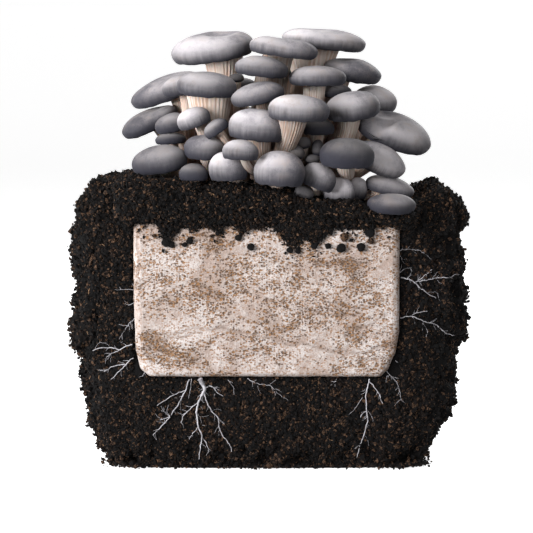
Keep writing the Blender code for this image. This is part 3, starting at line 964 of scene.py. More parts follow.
@functools.cache
def crumb_recipe() -> Recipe:
    """Crumbs of soil lying on a surface where its points allow them, and clear of the threads.

    Returns:
        The recipe.
    """
    recipe = Recipe("crumbs", {
        "Density": "Float", "Smallest": "Float", "Largest": "Float", "Sink": "Float", "Seed": "Int",
        "Threads": "Object", "Clear": "Float", "Material": "Material",
    })
    seed = recipe.input("Seed")
    points = recipe.scattered()
    threads = recipe.make("GeometryNodeObjectInfo", "Geometry", None, {0: recipe.input("Threads")})
    away = recipe.make("GeometryNodeProximity", "Distance", {"target_element": "EDGES"}, {0: threads})
    near = {0: points, "Selection": recipe.input("Clear").above(away)}
    points_left = recipe.make("GeometryNodeDeleteGeometry", 0, {"domain": "POINT"}, near)
    luck = recipe.random(0.0, 1.0, seed + 1)
    smallest = recipe.input("Smallest")
    size = smallest + (recipe.input("Largest") - smallest) * luck ** 2.4
    lift = size * recipe.input("Sink") + recipe.random(-0.0003, 0.0016, seed + 8)
    settled = recipe.moved(points_left, recipe.scaled(points.output("Normal"), lift))
    crumb = recipe.make("GeometryNodeMeshUVSphere", 0, None, {"Radius": 0.5, "Segments": 4, "Rings": 2})
    laid = recipe.make("GeometryNodeInstanceOnPoints", 0, None, {
        0: recipe.toned(settled), "Instance": crumb,
        "Rotation": recipe.random_vector(0.0, TURN, seed + 4),
        "Scale": recipe.scaled(recipe.random_vector(0.6, 1.5, seed + 3), size),
    })
    real = recipe.make("GeometryNodeRealizeInstances", 0, None, {0: laid})
    recipe.close(recipe.moved(real, recipe.shake(700.0, 1.0, 0.0016)), smooth=False)
    return recipe


@functools.cache
def fibre_recipe() -> Recipe:
    """Short bent fibres lying on a surface where its points allow them.

    Returns:
        The recipe.
    """
    recipe = Recipe("fibres", {
        "Density": "Float", "Shortest": "Float", "Longest": "Float", "Thickness": "Float", "Seed": "Int",
        "Material": "Material",
    })
    seed = recipe.input("Seed")
    points = recipe.scattered()
    lift = recipe.random(0.0002, 0.0011, seed + 5)
    raised = recipe.moved(points, recipe.scaled(points.output("Normal"), lift))
    bend = recipe.make("GeometryNodeCurvePrimitiveBezierSegment", 0, None, {
        "Resolution": 4, "Start": (-0.5, 0.0, 0.0), "Start Handle": (-0.2, 0.14, 0.05),
        "End Handle": (0.2, 0.1, 0.06), "End": (0.5, -0.06, 0.0),
    })
    section = recipe.make("GeometryNodeCurvePrimitiveCircle", 0, None, {"Resolution": 3, "Radius": 0.5})
    thin = recipe.swept(bend, section, recipe.input("Thickness"))
    spin = recipe.make("ShaderNodeCombineXYZ", 0, None, {
        0: recipe.random(-0.3, 0.3, seed + 6), 1: recipe.random(-0.45, 0.45, seed + 7),
        2: recipe.random(0.0, TURN, seed + 8),
    })
    turned = recipe.make(
        "FunctionNodeRotateRotation", 0, {"rotation_space": "LOCAL"}, {0: points.output("Rotation"), 1: spin}
    )
    shortest = recipe.input("Shortest")
    length = shortest + (recipe.input("Longest") - shortest) * recipe.random(0.0, 1.0, seed + 9) ** 2.0
    laid = recipe.make("GeometryNodeInstanceOnPoints", 0, None, {
        0: recipe.toned(raised), "Instance": thin, "Rotation": turned, "Scale": length,
    })
    recipe.close(laid, smooth=False)
    return recipe


@functools.cache
def ragged_recipe() -> Recipe:
    """Moves a surface in and out by lumps and grit, where its points allow it.

    Returns:
        The recipe.
    """
    recipe = Recipe("ragged_surface", {
        "Lump Size": "Float", "Lump Height": "Float", "Grit Size": "Float", "Grit Height": "Float",
        "Material": "Material",
    })
    where = recipe.make("GeometryNodeInputPosition")
    lump = recipe.noise(where, 1.0 / recipe.input("Lump Size"), 2.0)
    grit = recipe.noise(where, 1.0 / recipe.input("Grit Size"), 3.0, 0.7)
    lumped = (lump - 0.5) * 2.0 * recipe.input("Lump Height")
    gritted = (grit - 0.5) * 2.0 * recipe.input("Grit Height")
    normal = recipe.make("GeometryNodeInputNormal")
    offset = recipe.scaled(normal, (lumped + gritted) * recipe.carried("loose"))
    recipe.close(recipe.moved(recipe.input("Geometry"), offset), smooth=True)
    return recipe


@dataclass(frozen=True)
class Relief:
    """The lumps and grit of a surface: how wide they are and how far they stand out, in millimetres."""

    lump_size: float
    lump_height: float
    grit_size: float
    grit_height: float

    def over(self, name: str, plain: bpy.types.Object, finish: object) -> bpy.types.Object:
        """Gives an object this relief, where its points are loose.

        Args:
            name: the result's name.
            plain: the object, which is used up.
            finish: the result's finish.

        Returns:
            The result.
        """
        made = ragged_recipe().run(name, plain, {
            "Lump Size": self.lump_size * MM, "Lump Height": self.lump_height * MM,
            "Grit Size": self.grit_size * MM, "Grit Height": self.grit_height * MM,
            "Material": material_of(finish),
        })
        bpy.data.objects.remove(plain)
        return made


# Mushrooms


@dataclass(frozen=True)
class Cap:
    """One mushroom cap: its middle, its size, and how it leans. Pitch tips its top towards the front, roll
    turns its right side down. Inset moves the stem's place from the middle towards the foot. A crease is an
    angle round the cap in degrees, a depth in millimetres and a width in degrees. Spread is how much wider
    than deep the stem is where it meets the cap. One side of its skin, given as an angle in degrees, is
    painted paler: painted light, as if the lamp fell on that side."""

    name: str
    x: float
    y: float
    z: float
    width: float
    depth: float
    height: float
    pitch: float
    roll: float
    inset: float = 0.3
    dimple: float = 0.0
    stem: float = 4.5
    bow: tuple = (0, 0)
    spread: float = 1.15
    tone: Tone = Tone.GREY
    painted_lit_side: float = -135.0
    creases: tuple = ()

    @property
    def seed(self) -> float:
        """What sets this cap's own small differences."""
        return self.x * 0.37 + self.z * 0.11

    @property
    def hollow(self) -> float:
        """Height of the hollow under the cap, where the stem joins, in the cap's own frame."""
        return self.height * (HOLLOW - 0.5)

    @property
    def half(self) -> np.ndarray:
        """Half the width and depth."""
        return np.array([self.width, self.depth]) / 2

    def frame(self) -> Matrix:
        """The cap's own axes and middle, in millimetres."""
        turn = Euler((math.radians(self.pitch), math.radians(self.roll), 0)).to_matrix().to_4x4()
        return Matrix.Translation((self.x, self.y, self.z)) @ turn

    def placed(self, points: np.ndarray) -> np.ndarray:
        turn = np.array(self.frame())
        return points @ turn[:3, :3].T + turn[:3, 3]

    def stem_place(self, foot: "Foot") -> np.ndarray:
        """Where the stem meets the cap: set in from the middle towards the foot.

        Args:
            foot: the foot that the stem grows from.

        Returns:
            The place in the cap's own plane.
        """
        towards = Vector((foot.x - self.x, foot.y - self.y, 0))
        if towards.length < 1:
            return np.zeros(2)
        local = self.frame().to_3x3().inverted() @ towards.normalized()
        flat = Vector((local.x, local.y)).normalized()
        return np.array([flat.x, flat.y]) * self.half * self.inset

    def stem_seat(self) -> float:
        """Radius of the place under the cap where its stem joins."""
        return min(self.stem * 1.5 + 1, 0.82 * (1 - self.inset) * self.depth / 2)

    def wobble(self, angle: np.ndarray) -> np.ndarray:
        """How far the rim strays from an ellipse at each angle, as a share."""
        return 0.045 * np.sin(2 * angle + self.seed) + 0.03 * np.sin(3 * angle + 2.1 * self.seed)

    def ring(self, foot: "Foot", angles: np.ndarray, share: float) -> np.ndarray:
        """A ring in the cap's own plane.

        Args:
            foot: the foot that the stem grows from.
            angles: the angle of each point.
            share: how far out it is, from the stem's place to the rim.

        Returns:
            The ring's points.
        """
        rim = circle(angles) * self.half * (1 + self.wobble(angles))[:, None]
        place = self.stem_place(foot)
        return place + (rim - place) * share

    def top(self, flat: np.ndarray, place: np.ndarray) -> np.ndarray:
        """Height of the cap's top: a dome with a dimple and any creases.

        Args:
            flat: points in the cap's own plane.
            place: where the stem meets the cap, under the dimple.

        Returns:
            The height at each point, above the cap's middle.
        """
        across, along = (flat / self.half).T
        angle = np.arctan2(along, across)
        reach = np.minimum(1.0, np.hypot(across, along) / (1 + self.wobble(angle)))
        dome = CROWN * (1 - reach ** 2.4) ** 0.57
        away = np.hypot(*(flat - place).T) / (0.19 * self.width)
        height = self.height * (RIM + (1 - RIM) * dome - 0.5)
        height -= self.dimple * np.exp(-away * away)
        for degrees, depth, width in self.creases:
            turn = (angle - math.radians(degrees) + math.pi) % TURN - math.pi
            from_middle = np.hypot(*(flat - place).T) / (self.width / 2)
            height -= depth * np.exp(-(turn / math.radians(width)) ** 2) * eased(from_middle, 0.05, 0.5)
        return height

    def shell(self, foot: "Foot", angles: np.ndarray) -> tuple[np.ndarray, np.ndarray]:
        """The rings of the flesh: over the dome, round the margin and up into the hollow for the gills.

        Args:
            foot: the foot that its stem grows from.
            angles: the angle of each point of a ring.

        Returns:
            The rings in the cap's own frame, and how far out each of their points is.
        """
        count = len(angles)
        place = self.stem_place(foot)
        low = -self.height / 2
        rings, reach = [], []
        for step in np.linspace(0.06, 1.0, 24):
            share = 1 - (1 - step) ** 1.7
            flat = self.ring(foot, angles, share)
            rings.append(np.column_stack([flat, self.top(flat, place)]))
            reach.append(np.full(count, share))
        for turn in np.linspace(0, math.pi / 2, 8)[1:]:
            flat = self.ring(foot, angles, TUCK + (1 - TUCK) * math.cos(turn) ** 0.78)
            height = low + self.height * RIM * (1 - math.sin(turn))
            rings.append(raised(flat, height))
            reach.append(np.full(count, 1.0 + 0.08 * turn))
        for share, lift in ((0.795, 0.012), (0.76, 0.04), (CURL, 0.09)):
            flat = self.ring(foot, angles, share)
            rings.append(raised(flat, low + lift * self.height))
            reach.append(np.full(count, 1.15))
        for share in (0.2, 0.4, 0.6, 0.8, 1.0):
            rings.append(self.bed(foot, angles, share))
            reach.append(np.full(count, 1.0 - share))
        return np.array(rings), np.array(reach)

    def flesh(self, foot: "Foot") -> bpy.types.Object:
        """The cap's flesh: smooth dome, rounded margin curled in underneath, and a hollow for the gills.

        Args:
            foot: the foot that its stem grows from.

        Returns:
            The piece.
        """
        count = 96 if self.width > 38 else 72 if self.width > 26 else 56
        angles = full_turn(count)
        rings, reach = self.shell(foot, angles)
        points = self.roughened(rings, reach, angles)
        around = np.broadcast_to(angles, reach.shape)
        own = self.seed * 3.1
        grain = np.stack([np.cos(around) * 9 + own, np.sin(around) * 9 + own, reach * 1.6], 2)
        place = self.stem_place(foot)
        ends = (np.append(place, self.top(place[None, :], place)), points[-1].mean(0) + [0, 0, 0.2])
        placed_ends = tuple(self.placed(end) for end in ends)
        # Painted light: how far each point lies towards the side that is painted paler
        painted_light = np.cos(around - math.radians(self.painted_lit_side)) * np.minimum(1.0, reach)
        carried = {"grain": grain, "reach": reach, "painted_lit_side": painted_light}
        return skin(f"{self.name}_flesh", self.placed(points), placed_ends, carried)

    def bed(self, foot: "Foot", angles: np.ndarray, share: float) -> np.ndarray:
        """The arched surface that the gills hang from.

        Args:
            foot: the foot that the stem grows from.
            angles: the angle of each point.
            share: how far in it is, from the curl to the stem.

        Returns:
            A ring of points in the cap's own frame.
        """
        outer = self.ring(foot, angles, CURL)
        inner = self.stem_place(foot) + circle(angles) * self.stem_seat() * 0.8
        flat = outer + (inner - outer) * share
        start = self.height * -0.41
        height = start + (self.hollow + 1.0 - start) * share ** 0.6
        return raised(flat, height)

    def roughened(self, points: np.ndarray, reach: np.ndarray, angles: np.ndarray) -> np.ndarray:
        """Gives the flesh its slight unevenness and a faintly scalloped margin.

        Args:
            points: rings in the cap's own frame.
            reach: how far out each point is.
            angles: the angle of each point of a ring.

        Returns:
            The moved points.
        """
        moved = points.copy()
        on_top = eased(reach, 0.1, 0.5) * (reach <= 1.0)
        moved[:, :, 2] += lumps(points + self.seed * 7, 19.0) * 0.055 * self.height * on_top
        margin = eased(reach, 0.86, 1.1) * (points[:, :, 2] < self.height * 0.1)
        scallop = np.sin(7 * angles + self.seed) * 0.5 + np.sin(12 * angles + 2.3 * self.seed) * 0.35
        scallop += np.sin(19 * angles + 1.7 * self.seed) * 0.25
        moved[:, :, 2] += scallop * 0.022 * self.height * margin
        moved[:, :, :2] *= 1 + (scallop * 0.004)[None, :, None] * margin[:, :, None]
        return moved

    def ridge(self, angles: np.ndarray, share: float) -> np.ndarray:
        """The ridges round the cap's stem, which wander and fade in and out.

        Args:
            angles: the angles round the stem.
            share: how far up the stem it is.

        Returns:
            From about -1 in a furrow to 1 on a ridge, at each angle.
        """
        count = round(10 + self.stem * 2.6)
        drift = 0.8 * math.sin(3 * share + self.seed) + 0.6 * np.sin(2 * angles + self.seed + 2 * share)
        wave = 0.45 * np.sin(3 * angles + 5 * share + 2 * self.seed)
        strength = 0.55 + wave * np.sin(5 * angles + self.seed)
        return (1 - 2 * np.abs(np.sin(count * angles / 2 + drift))) * strength

    def gills(self, foot: "Foot") -> bpy.types.Object:
        """The gills: blades that run from the margin to the stem, every second one short.

        Args:
            foot: the foot that the cap's stem grows from.

        Returns:
            The piece.
        """
        count = 2 * round(math.pi * self.width / 2 / GILL_SPACING)
        angles = full_turn(count)
        steps = np.linspace(0.0, 1.0, 6)
        upper = np.array([self.bed(foot, angles, share) for share in steps])
        start = self.height * -0.45
        lower = start + (self.hollow - start) * steps
        vertices, edges, depths = [], [], []
        for blade in range(count):
            length = len(steps) if blade % 2 == 0 else 4
            for step in range(length):
                flat, top = upper[step, blade, :2], upper[step, blade, 2] + 0.35
                depths.append(max(0.3, top - lower[step]) * MM)
                vertices.append((*(flat * MM), (top + lower[step]) / 2 * MM))
                if step:
                    edges.append((len(vertices) - 2, len(vertices) - 1))
        mesh = bpy.data.meshes.new("gill_paths")
        mesh.from_pydata(vertices, edges, [])
        carry(mesh, "depth", np.array(depths))
        paths = add_object("gill_paths", mesh)
        values = {"Thickness": GILL_THICKNESS, "Material": material_of(GillFlesh())}
        made = blade_recipe().run(f"{self.name}_gills", paths, values)
        bpy.data.objects.remove(paths)
        set_points(made.data, self.placed(points_of(made.data)))
        return made


@dataclass(frozen=True)
class Foot:
    """The foot that a bundle's stems share, standing on the block. Rise is how far the stems are grown
    together above it, and girth how much stouter than the foot they are there."""

    x: float
    y: float
    rx: float
    ry: float
    top: float = 226.0
    rise: float = 0.0
    girth: float = 1.0


@dataclass(frozen=True)
class Bundle:
    """Mushrooms that share one foot. The young ones are too small to be pieces of their own. The stems are
    darkened by a given amount of painted shade, standing for the shade deep in the cluster."""

    name: str
    foot: Foot
    caps: tuple[Cap, ...]
    young: tuple[Cap, ...] = ()
    painted_shade: float = 0.0

    def build(self) -> None:
        """Builds and hands in the caps with their gills, the stems and the young mushrooms' caps."""
        for cap in self.caps:
            flesh = cap.flesh(self.foot)
            dress(flesh, CapSkin(cap.tone))
            hand_in(flesh, (cap.name,))
            hand_in(cap.gills(self.foot), (cap.name,))
        stems = [self.stem(cap, order) for order, cap in enumerate(self.caps)]
        stems += [self.stem(pin, order + 0.5) for order, pin in enumerate(self.young)]
        flesh = joined(f"{self.name}_flesh", [self.foot_mass()] + stems)
        # Painted shade for stems deep in the cluster, by the bundle's amount
        carry(flesh.data, "painted_shade", np.full(len(flesh.data.vertices), self.painted_shade))
        dress(flesh, StemFlesh())
        hand_in(flesh, (self.name,))
        if self.young:
            heads = joined(f"{self.name}_young_caps", [self.young_cap(pin) for pin in self.young])
            dress(heads, CapSkin(Tone.SHADE))
            hand_in(heads, (self.name,))

    def stem_line(self, cap: Cap, order: float) -> tuple[Vector, Vector, Vector, Vector]:
        """The ends and handles of a stem's line, from inside the foot to just under the cap.

        Args:
            cap: the stem's cap.
            order: the cap's place in the bundle, which sets how high the stem starts.

        Returns:
            The four points of a cubic curve.
        """
        foot = self.foot
        turn = cap.frame()
        place = cap.stem_place(foot)
        end = turn @ Vector((place[0], place[1], cap.hollow - STEM_GAP))
        axis = (turn.to_3x3() @ Vector((0, 0, 1))).normalized()
        outward = Vector((cap.x - foot.x, cap.y - foot.y, 0)).normalized()
        start_z = max(STEM_LOWEST_Z, min(STEM_START_Z, cap.z - 24)) + 0.7 * order
        start = Vector((foot.x + outward.x * foot.rx * 0.32, foot.y + outward.y * foot.ry * 0.32, start_z))
        reach = (end - start).length
        steep = max(0.0, end.z - start.z) / reach
        rise = (outward * (1.3 - steep) + Vector((0, 0, steep))).normalized()
        drop = 0.35 * reach * steep + 18 * (1 - steep)
        return start, start + rise * reach * 0.35 + Vector((*cap.bow, 0)) * 2, end - axis * drop, end

    def stem(self, cap: Cap, order: float) -> bpy.types.Object:
        """One stem: stout at the foot, flaring into the cap, with ridges that grow into the gills.

        Args:
            cap: the stem's cap.
            order: the cap's place in the bundle.

        Returns:
            The stem, with what its finish reads on its points.
        """
        line = self.stem_line(cap, order)
        neck = 0.9 * cap.stem
        flare = max(0.0, min(1.6 * cap.stem, cap.stem_seat() - 1) - neck)
        sides = 120 if cap.stem > 5.5 else 84 if cap.stem > 3.5 else 48
        angles = full_turn(sides)
        rings, ridge_rows, along_rows = [], [], []
        across = Vector((1, 0, 0))
        levels = 34 if cap.width > 16 else 16
        for share in np.linspace(0.0, 1.0, levels):
            point, way = cubic(line, share)
            across = (across - way * across.dot(way)).normalized()
            ridge = cap.ridge(angles, share)
            tooth = (0.08 + 0.34 * float(eased(share, 0.3, 1.0))) * cap.stem / 8
            swell = 1 + 0.05 * math.sin(5 * share + cap.seed) * (1 - share)
            radius = neck + 0.25 * cap.stem * (1 - share) + flare * share ** 3
            oval = 1 + (cap.spread - 1) * share ** 2
            rings.append(round_ring(point, way, across, angles, radius * swell + tooth * ridge, oval))
            ridge_rows.append(ridge)
            along_rows.append(np.full(sides, share))
        inside = line[3] + way * 2.0
        widest = np.full(sides, (neck + flare) * 1.06)
        rings.append(round_ring(inside, way, across, angles, widest, cap.spread))
        ridge_rows.append(ridge_rows[-1])
        along_rows.append(along_rows[-1])
        along = np.array(along_rows)
        around = np.broadcast_to(angles, along.shape)
        width = cap.stem * 1.1
        length = (line[3] - line[0]).length / 22
        grain = np.stack([np.cos(around) * width + cap.seed, np.sin(around) * width, along * length], 2)
        carried = {"grain": grain, "ridge": np.array(ridge_rows), "along": along}
        return skin(f"{cap.name}_stem", np.array(rings), (None, None), carried)

    def foot_mass(self) -> bpy.types.Object:
        """The lumpy mass at the bottom that the stems rise from.

        Returns:
            The mass, with what its finish reads on its points.
        """
        foot = self.foot
        sides = 48
        angles = full_turn(sides)
        rings = []
        for share in np.linspace(0.0, 1.0, 22):
            z = BLOCK_TOP_Z + STEM_GAP + (foot.top + foot.rise - BLOCK_TOP_Z - STEM_GAP) * share
            size = math.sqrt(max(0.05, 1 - share ** 5)) * (1 - 0.25 * share * bool(foot.rise))
            size *= 1 + (foot.girth - 1) * float(eased(z, 222, 240))
            flat = circle(angles) * [foot.rx, foot.ry] * size
            rings.append(raised(flat + [foot.x, foot.y], z))
        points = np.array(rings)
        height = points[1:, :, 2]
        flutes = np.sin(7 * angles + height * 0.05) + 0.6 * np.sin(13 * angles - height * 0.04)
        points[1:, :, :2] += (lumps(points[1:], 9.0) * 0.7)[:, :, None]
        middle = np.array([foot.x, foot.y])
        points[1:, :, :2] += (points[1:, :, :2] - middle) * (flutes * 0.045)[:, :, None]
        plain = np.zeros(points.shape[:2])
        carried = {"grain": points * np.array([0.45, 0.45, 0.04]), "ridge": plain, "along": plain}
        return skin(f"{self.name}_foot", points, (None, None), carried)

    def young_cap(self, pin: Cap) -> bpy.types.Object:
        """The round cap of a very young mushroom.

        Args:
            pin: its place and size.

        Returns:
            The cap.
        """
        sides = 40
        angles = full_turn(sides)
        rings, reach = [], []
        for polar in np.linspace(0.0, math.pi, 22)[1:-1]:
            size = math.sin(polar) ** 0.8
            flat = circle(angles) * pin.half * size
            rings.append(raised(flat, math.cos(polar) * pin.height / 2))
            reach.append(np.full(sides, polar / math.pi * 1.4))
        points = np.array(rings)
        points += lumps(points + pin.seed * 5, 8.0)[:, :, None] * 0.25
        grain = points * 0.5 + pin.seed
        ends = (np.array([0, 0, pin.height / 2]), np.array([0, 0, -pin.height / 2]))
        carried = {"grain": grain, "reach": np.array(reach)}
        return skin(f"{pin.name}_cap", pin.placed(points), tuple(pin.placed(end) for end in ends), carried)


def cubic(line: tuple[Vector, ...], share: float) -> tuple[Vector, Vector]:
    """A place on a cubic curve.

    Args:
        line: the curve's two ends with its two handles between them.
        share: how far along it is.

    Returns:
        The point and the curve's direction there.
    """
    a, b, c, d = line
    rest = 1 - share
    point = a * rest ** 3 + b * 3 * rest ** 2 * share + c * 3 * rest * share ** 2 + d * share ** 3
    way = (b - a) * 3 * rest ** 2 + (c - b) * 6 * rest * share + (d - c) * 3 * share ** 2
    return point, way.normalized()


def round_ring(
    point: Vector, way: Vector, across: Vector, angles: np.ndarray, radii: np.ndarray, oval: float
) -> np.ndarray:
    """A ring round a line.

    Args:
        point: its middle.
        way: the line's direction.
        across: the direction of the ring's first point.
        angles: the angle of each point.
        radii: how far out each point is.
        oval: how much wider the ring is across than the other way.

    Returns:
        The ring's points.
    """
    up = way.cross(across)
    sides = np.cos(angles)[:, None] * np.array(across) * oval + np.sin(angles)[:, None] * np.array(up)
    return np.array(point) + sides * np.asarray(radii)[:, None]


# Each cap after its name: x, y, z, width, depth, height, pitch, roll, inset, dimple, stem radius, and bow
# The caps' tones are partly painted light and shade, and their pale sides are painted light
BUNDLES = (
    Bundle("stems_left", Foot(-54, 2, 13, 12, rise=36), caps=(
        Cap("cap_left_upper", -78, 12, 286.5, 56, 46, 16, 8, -22, 0.35, 2, 5.5, tone=Tone.SLATE, painted_lit_side=-20),
        Cap("cap_left_lobe", -65, -20, 289, 28, 20, 14, 8, -10, 0.35, 0, 4, tone=Tone.SLATE),
        Cap("cap_left_outer", -91, 0, 262, 44, 42, 14, 9, -24, 0.35, 2.5, 5, tone=Tone.DARK, painted_lit_side=10),
        Cap("cap_left_inner", -72, -29, 261, 25, 24, 13, 8, -15, 0.6, 0, 3.6, tone=Tone.DARK, painted_lit_side=-40),
        Cap("cap_left_tucked", -73, -33, 249, 23, 13, 8, 5, -3, 0.5, 0, 2.8, tone=Tone.SHADE),
        Cap("cap_left_low", -80.5, -47, 234.5, 41, 32, 18, 12, -10, 0.35, 0, 5, tone=Tone.DARK, painted_lit_side=-40),
        Cap("cap_left_bottom", -54.5, -60, 225, 23, 16, 12, 5, 0, 0.3, 0, 3.3, tone=Tone.SHADE),
    )),
    Bundle("stems_left_tall", Foot(-27, -7, 15.5, 16, rise=66), caps=(
        Cap("cap_top_left", -41, -10, 319.5, 61, 54, 20, 10, -9, 0.22, 6, 8,
            spread=1.4, tone=Tone.ASH, painted_lit_side=-120),
        Cap("cap_left_saddle", -45, -47, 290.5, 44, 32, 17, 8, 3, 0.3, 0, 8.5, (-3, 0),
            spread=2.3, tone=Tone.SLATE, painted_lit_side=-120),
        Cap("cap_left_button", -55, -53, 265.5, 25, 21, 14, 6, -20, 0.5, 0, 3.6, tone=Tone.ASH),
        Cap("cap_left_bud", -38, -60, 258.5, 19, 14, 10, 5, -35, 0.3, 0, 2.6, (5, 2), tone=Tone.DARK),
        Cap("cap_left_front", -47, -53, 243.5, 30.5, 22, 17, 10, 3, 0.3, 0, 3.6, tone=Tone.SLATE, painted_lit_side=-30),
    ), young=(Cap("young", -22.5, -27, 294.5, 11, 10, 7, 0, 0, 0, 0, 2),)),
    Bundle("stems_front", Foot(3, -29, 13, 11, rise=34), caps=(
        Cap("cap_front_upper", -7, -53, 284, 41, 30, 14, 10, -12, 0.45, 0, 4.5, (0, 6),
            tone=Tone.SLATE, painted_lit_side=-170),
        Cap("cap_front_bell", -6.5, -61, 260.5, 41, 25, 22, 10, 6, 0.25, 0, 5,
            tone=Tone.ASH, spread=1.9, painted_lit_side=-160),
        Cap("cap_front_button", -19, -80, 242.5, 26, 18, 14, 6, 3, 0.5, 0, 3, (3.2, 0)),
        Cap("cap_front_pale", -28.5, -66, 230, 28, 18, 21, 8, -3, 0.25, 0, 3.2, tone=Tone.ASH, painted_lit_side=-150),
        Cap("cap_front_dome", 10, -70, 228.5, 39, 28, 24, 8, 3, 0.2, 0, 3.8, tone=Tone.ASH, painted_lit_side=-175),
        Cap("cap_centre", 24, -75, 273.5, 44, 28, 18, 8, 3, 0.4, 0, 6, (0, 2), tone=Tone.ASH, spread=2),
    ), young=(
        Cap("young", 28, -48, 246, 11, 10, 9, 5, -10, 0, 0, 1.8),
        Cap("young", 18, -46, 247, 15, 12, 8, 5, -5, 0, 0, 2),
        Cap("young", 21, -51, 239, 16, 13, 11, 5, 5, 0, 0, 2.2),
    ), painted_shade=0.5),
    Bundle("stems_centre_tall", Foot(2, 8, 12, 12, rise=89, girth=1.45), caps=(
        Cap("cap_centre_upper", -3, -44, 303.5, 39, 28, 14, 6, 6, 0.65, 0, 4,
            tone=Tone.SLATE, spread=1.6, painted_lit_side=-150),
        Cap("cap_top_centre", 12.5, -32, 318.5, 50, 36, 14, 5, 8, 0.4, 2, 5.5, spread=1.6, tone=Tone.ASH),
    ), painted_shade=0.6),
    Bundle("stems_right_tall", Foot(27, 6, 12, 12, rise=78, girth=1.2), caps=(
        Cap("cap_top_right", 43.5, 6, 324.5, 62, 52, 16, 2, 6, 0.25, 3, 8,
            tone=Tone.PALE, spread=1.9, painted_lit_side=-120),
        Cap("cap_right_upper", 39, -40, 296.5, 43, 30, 14, 4, 0, 0.5, 0, 6,
            tone=Tone.SLATE, spread=1.6, painted_lit_side=-150),
        Cap("cap_right_wing", 66, -2, 301, 43, 40, 15, 10, 12, 0.35, 3, 4.8, painted_lit_side=160),
        Cap("cap_right_tucked", 52.5, -22, 285, 24, 20, 9, 3, 0, 0.3, 0, 3.2, tone=Tone.DARK),
        Cap("cap_centre_low", 39, -42, 258, 25, 22, 11, 3, 0, 0.3, 0, 3.5, tone=Tone.SHADE),
    ), painted_shade=0.2),
    Bundle("stems_right", Foot(54, -2, 12, 12, rise=56), caps=(
        Cap("cap_right_middle", 64.5, -48, 274.5, 42, 34, 19, 10, -8, 0.5, 0, 6, (-5, 0),
            spread=1.5, painted_lit_side=-120),
        Cap("cap_right_back", 83, 2, 278.5, 37, 34, 17, 12, 5, 0.35, 0, 4.5, tone=Tone.ASH, painted_lit_side=-120),
        Cap("cap_right_outer", 98, -27, 256, 57, 42, 19, 26, 22, 0.45, 4.5, 6,
            tone=Tone.SLATE, creases=((-118, 4, 13),), painted_lit_side=-60),
        Cap("cap_right_slope", 86, -42, 235, 40, 30, 16, 30, 27, 0.35, 0, 4.5, tone=Tone.PALE, painted_lit_side=-75),
        Cap("cap_right_front", 59.5, -70, 240, 43, 28, 20, 10, 2, 0.3, 0, 5, (5, 0),
            tone=Tone.SHADE, painted_lit_side=-30),
    ), painted_shade=0.3),
    Bundle("stems_right_low", Foot(45, -27, 12, 10, 214.0), caps=(
        Cap("cap_front_right", 39.5, -61, 222, 26, 16, 18, 8, 22, 0.2, 0, 2.8, (-2, 0)),
        Cap("cap_right_low", 93.5, -38, 214, 36, 26, 12, 10, 14, 0.4, 0, 3.8, (0, 6),
            tone=Tone.SLATE, painted_lit_side=-80),
        Cap("cap_right_bottom", 93.5, -64.5, 202, 36, 22, 12.5, 14, 4, 0.2, 0, 2.8, (0, 4),
            tone=Tone.DARK, painted_lit_side=-5),
        Cap("cap_low_pale", 54.5, -50.5, 211.5, 25, 14, 17, 8, 0, 0.1, 0, 2.2, tone=Tone.PALE, painted_lit_side=-90),
        Cap("cap_low_shaded", 68.5, -40, 212, 16.5, 10, 15, 5, 15, 0.25, 0, 2.6, tone=Tone.PALE),
    ), young=(
        Cap("young", 38.5, -46, 242, 9, 9, 13, 0, 0, 0, 0, 1.8),
        Cap("young", 34.5, -48, 234, 12, 10, 7, 10, 0, 0, 0, 1.8),
        Cap("young", 28, -58, 209, 15, 11, 11, 5, 10, 0, 0, 2.2),
    )),
    Bundle("stems_back", Foot(0, 42, 20, 12), caps=(
        Cap("cap_back_top_left", -30, 46, 286, 44, 38, 15, -8, -8, 0.3, 1, 5),
        Cap("cap_back_top_right", 19, 54, 299, 46, 40, 15, -8, 5, 0.3, 1.5, 5),
        Cap("cap_back_right", 62, 46, 276, 40, 36, 14, -10, 8, 0.35, 0, 4.5),
        Cap("cap_back_left", -66, 44, 254, 38, 36, 14, -12, -12, 0.35, 0, 4.5),
        Cap("cap_back_centre_left", -22, 68, 262, 42, 34, 15, -12, -4, 0.3, 0, 4.5),
        Cap("cap_back_centre_right", 30, 70, 264, 44, 36, 16, -12, 6, 0.3, 0, 4.5),
        Cap("cap_back_low_left", -44, 64, 236, 38, 32, 16, -14, -8, 0.35, 0, 4.5),
        Cap("cap_back_low_right", 56, 62, 240, 38, 32, 16, -14, 10, 0.35, 0, 4.5),
    )),
)


# Block


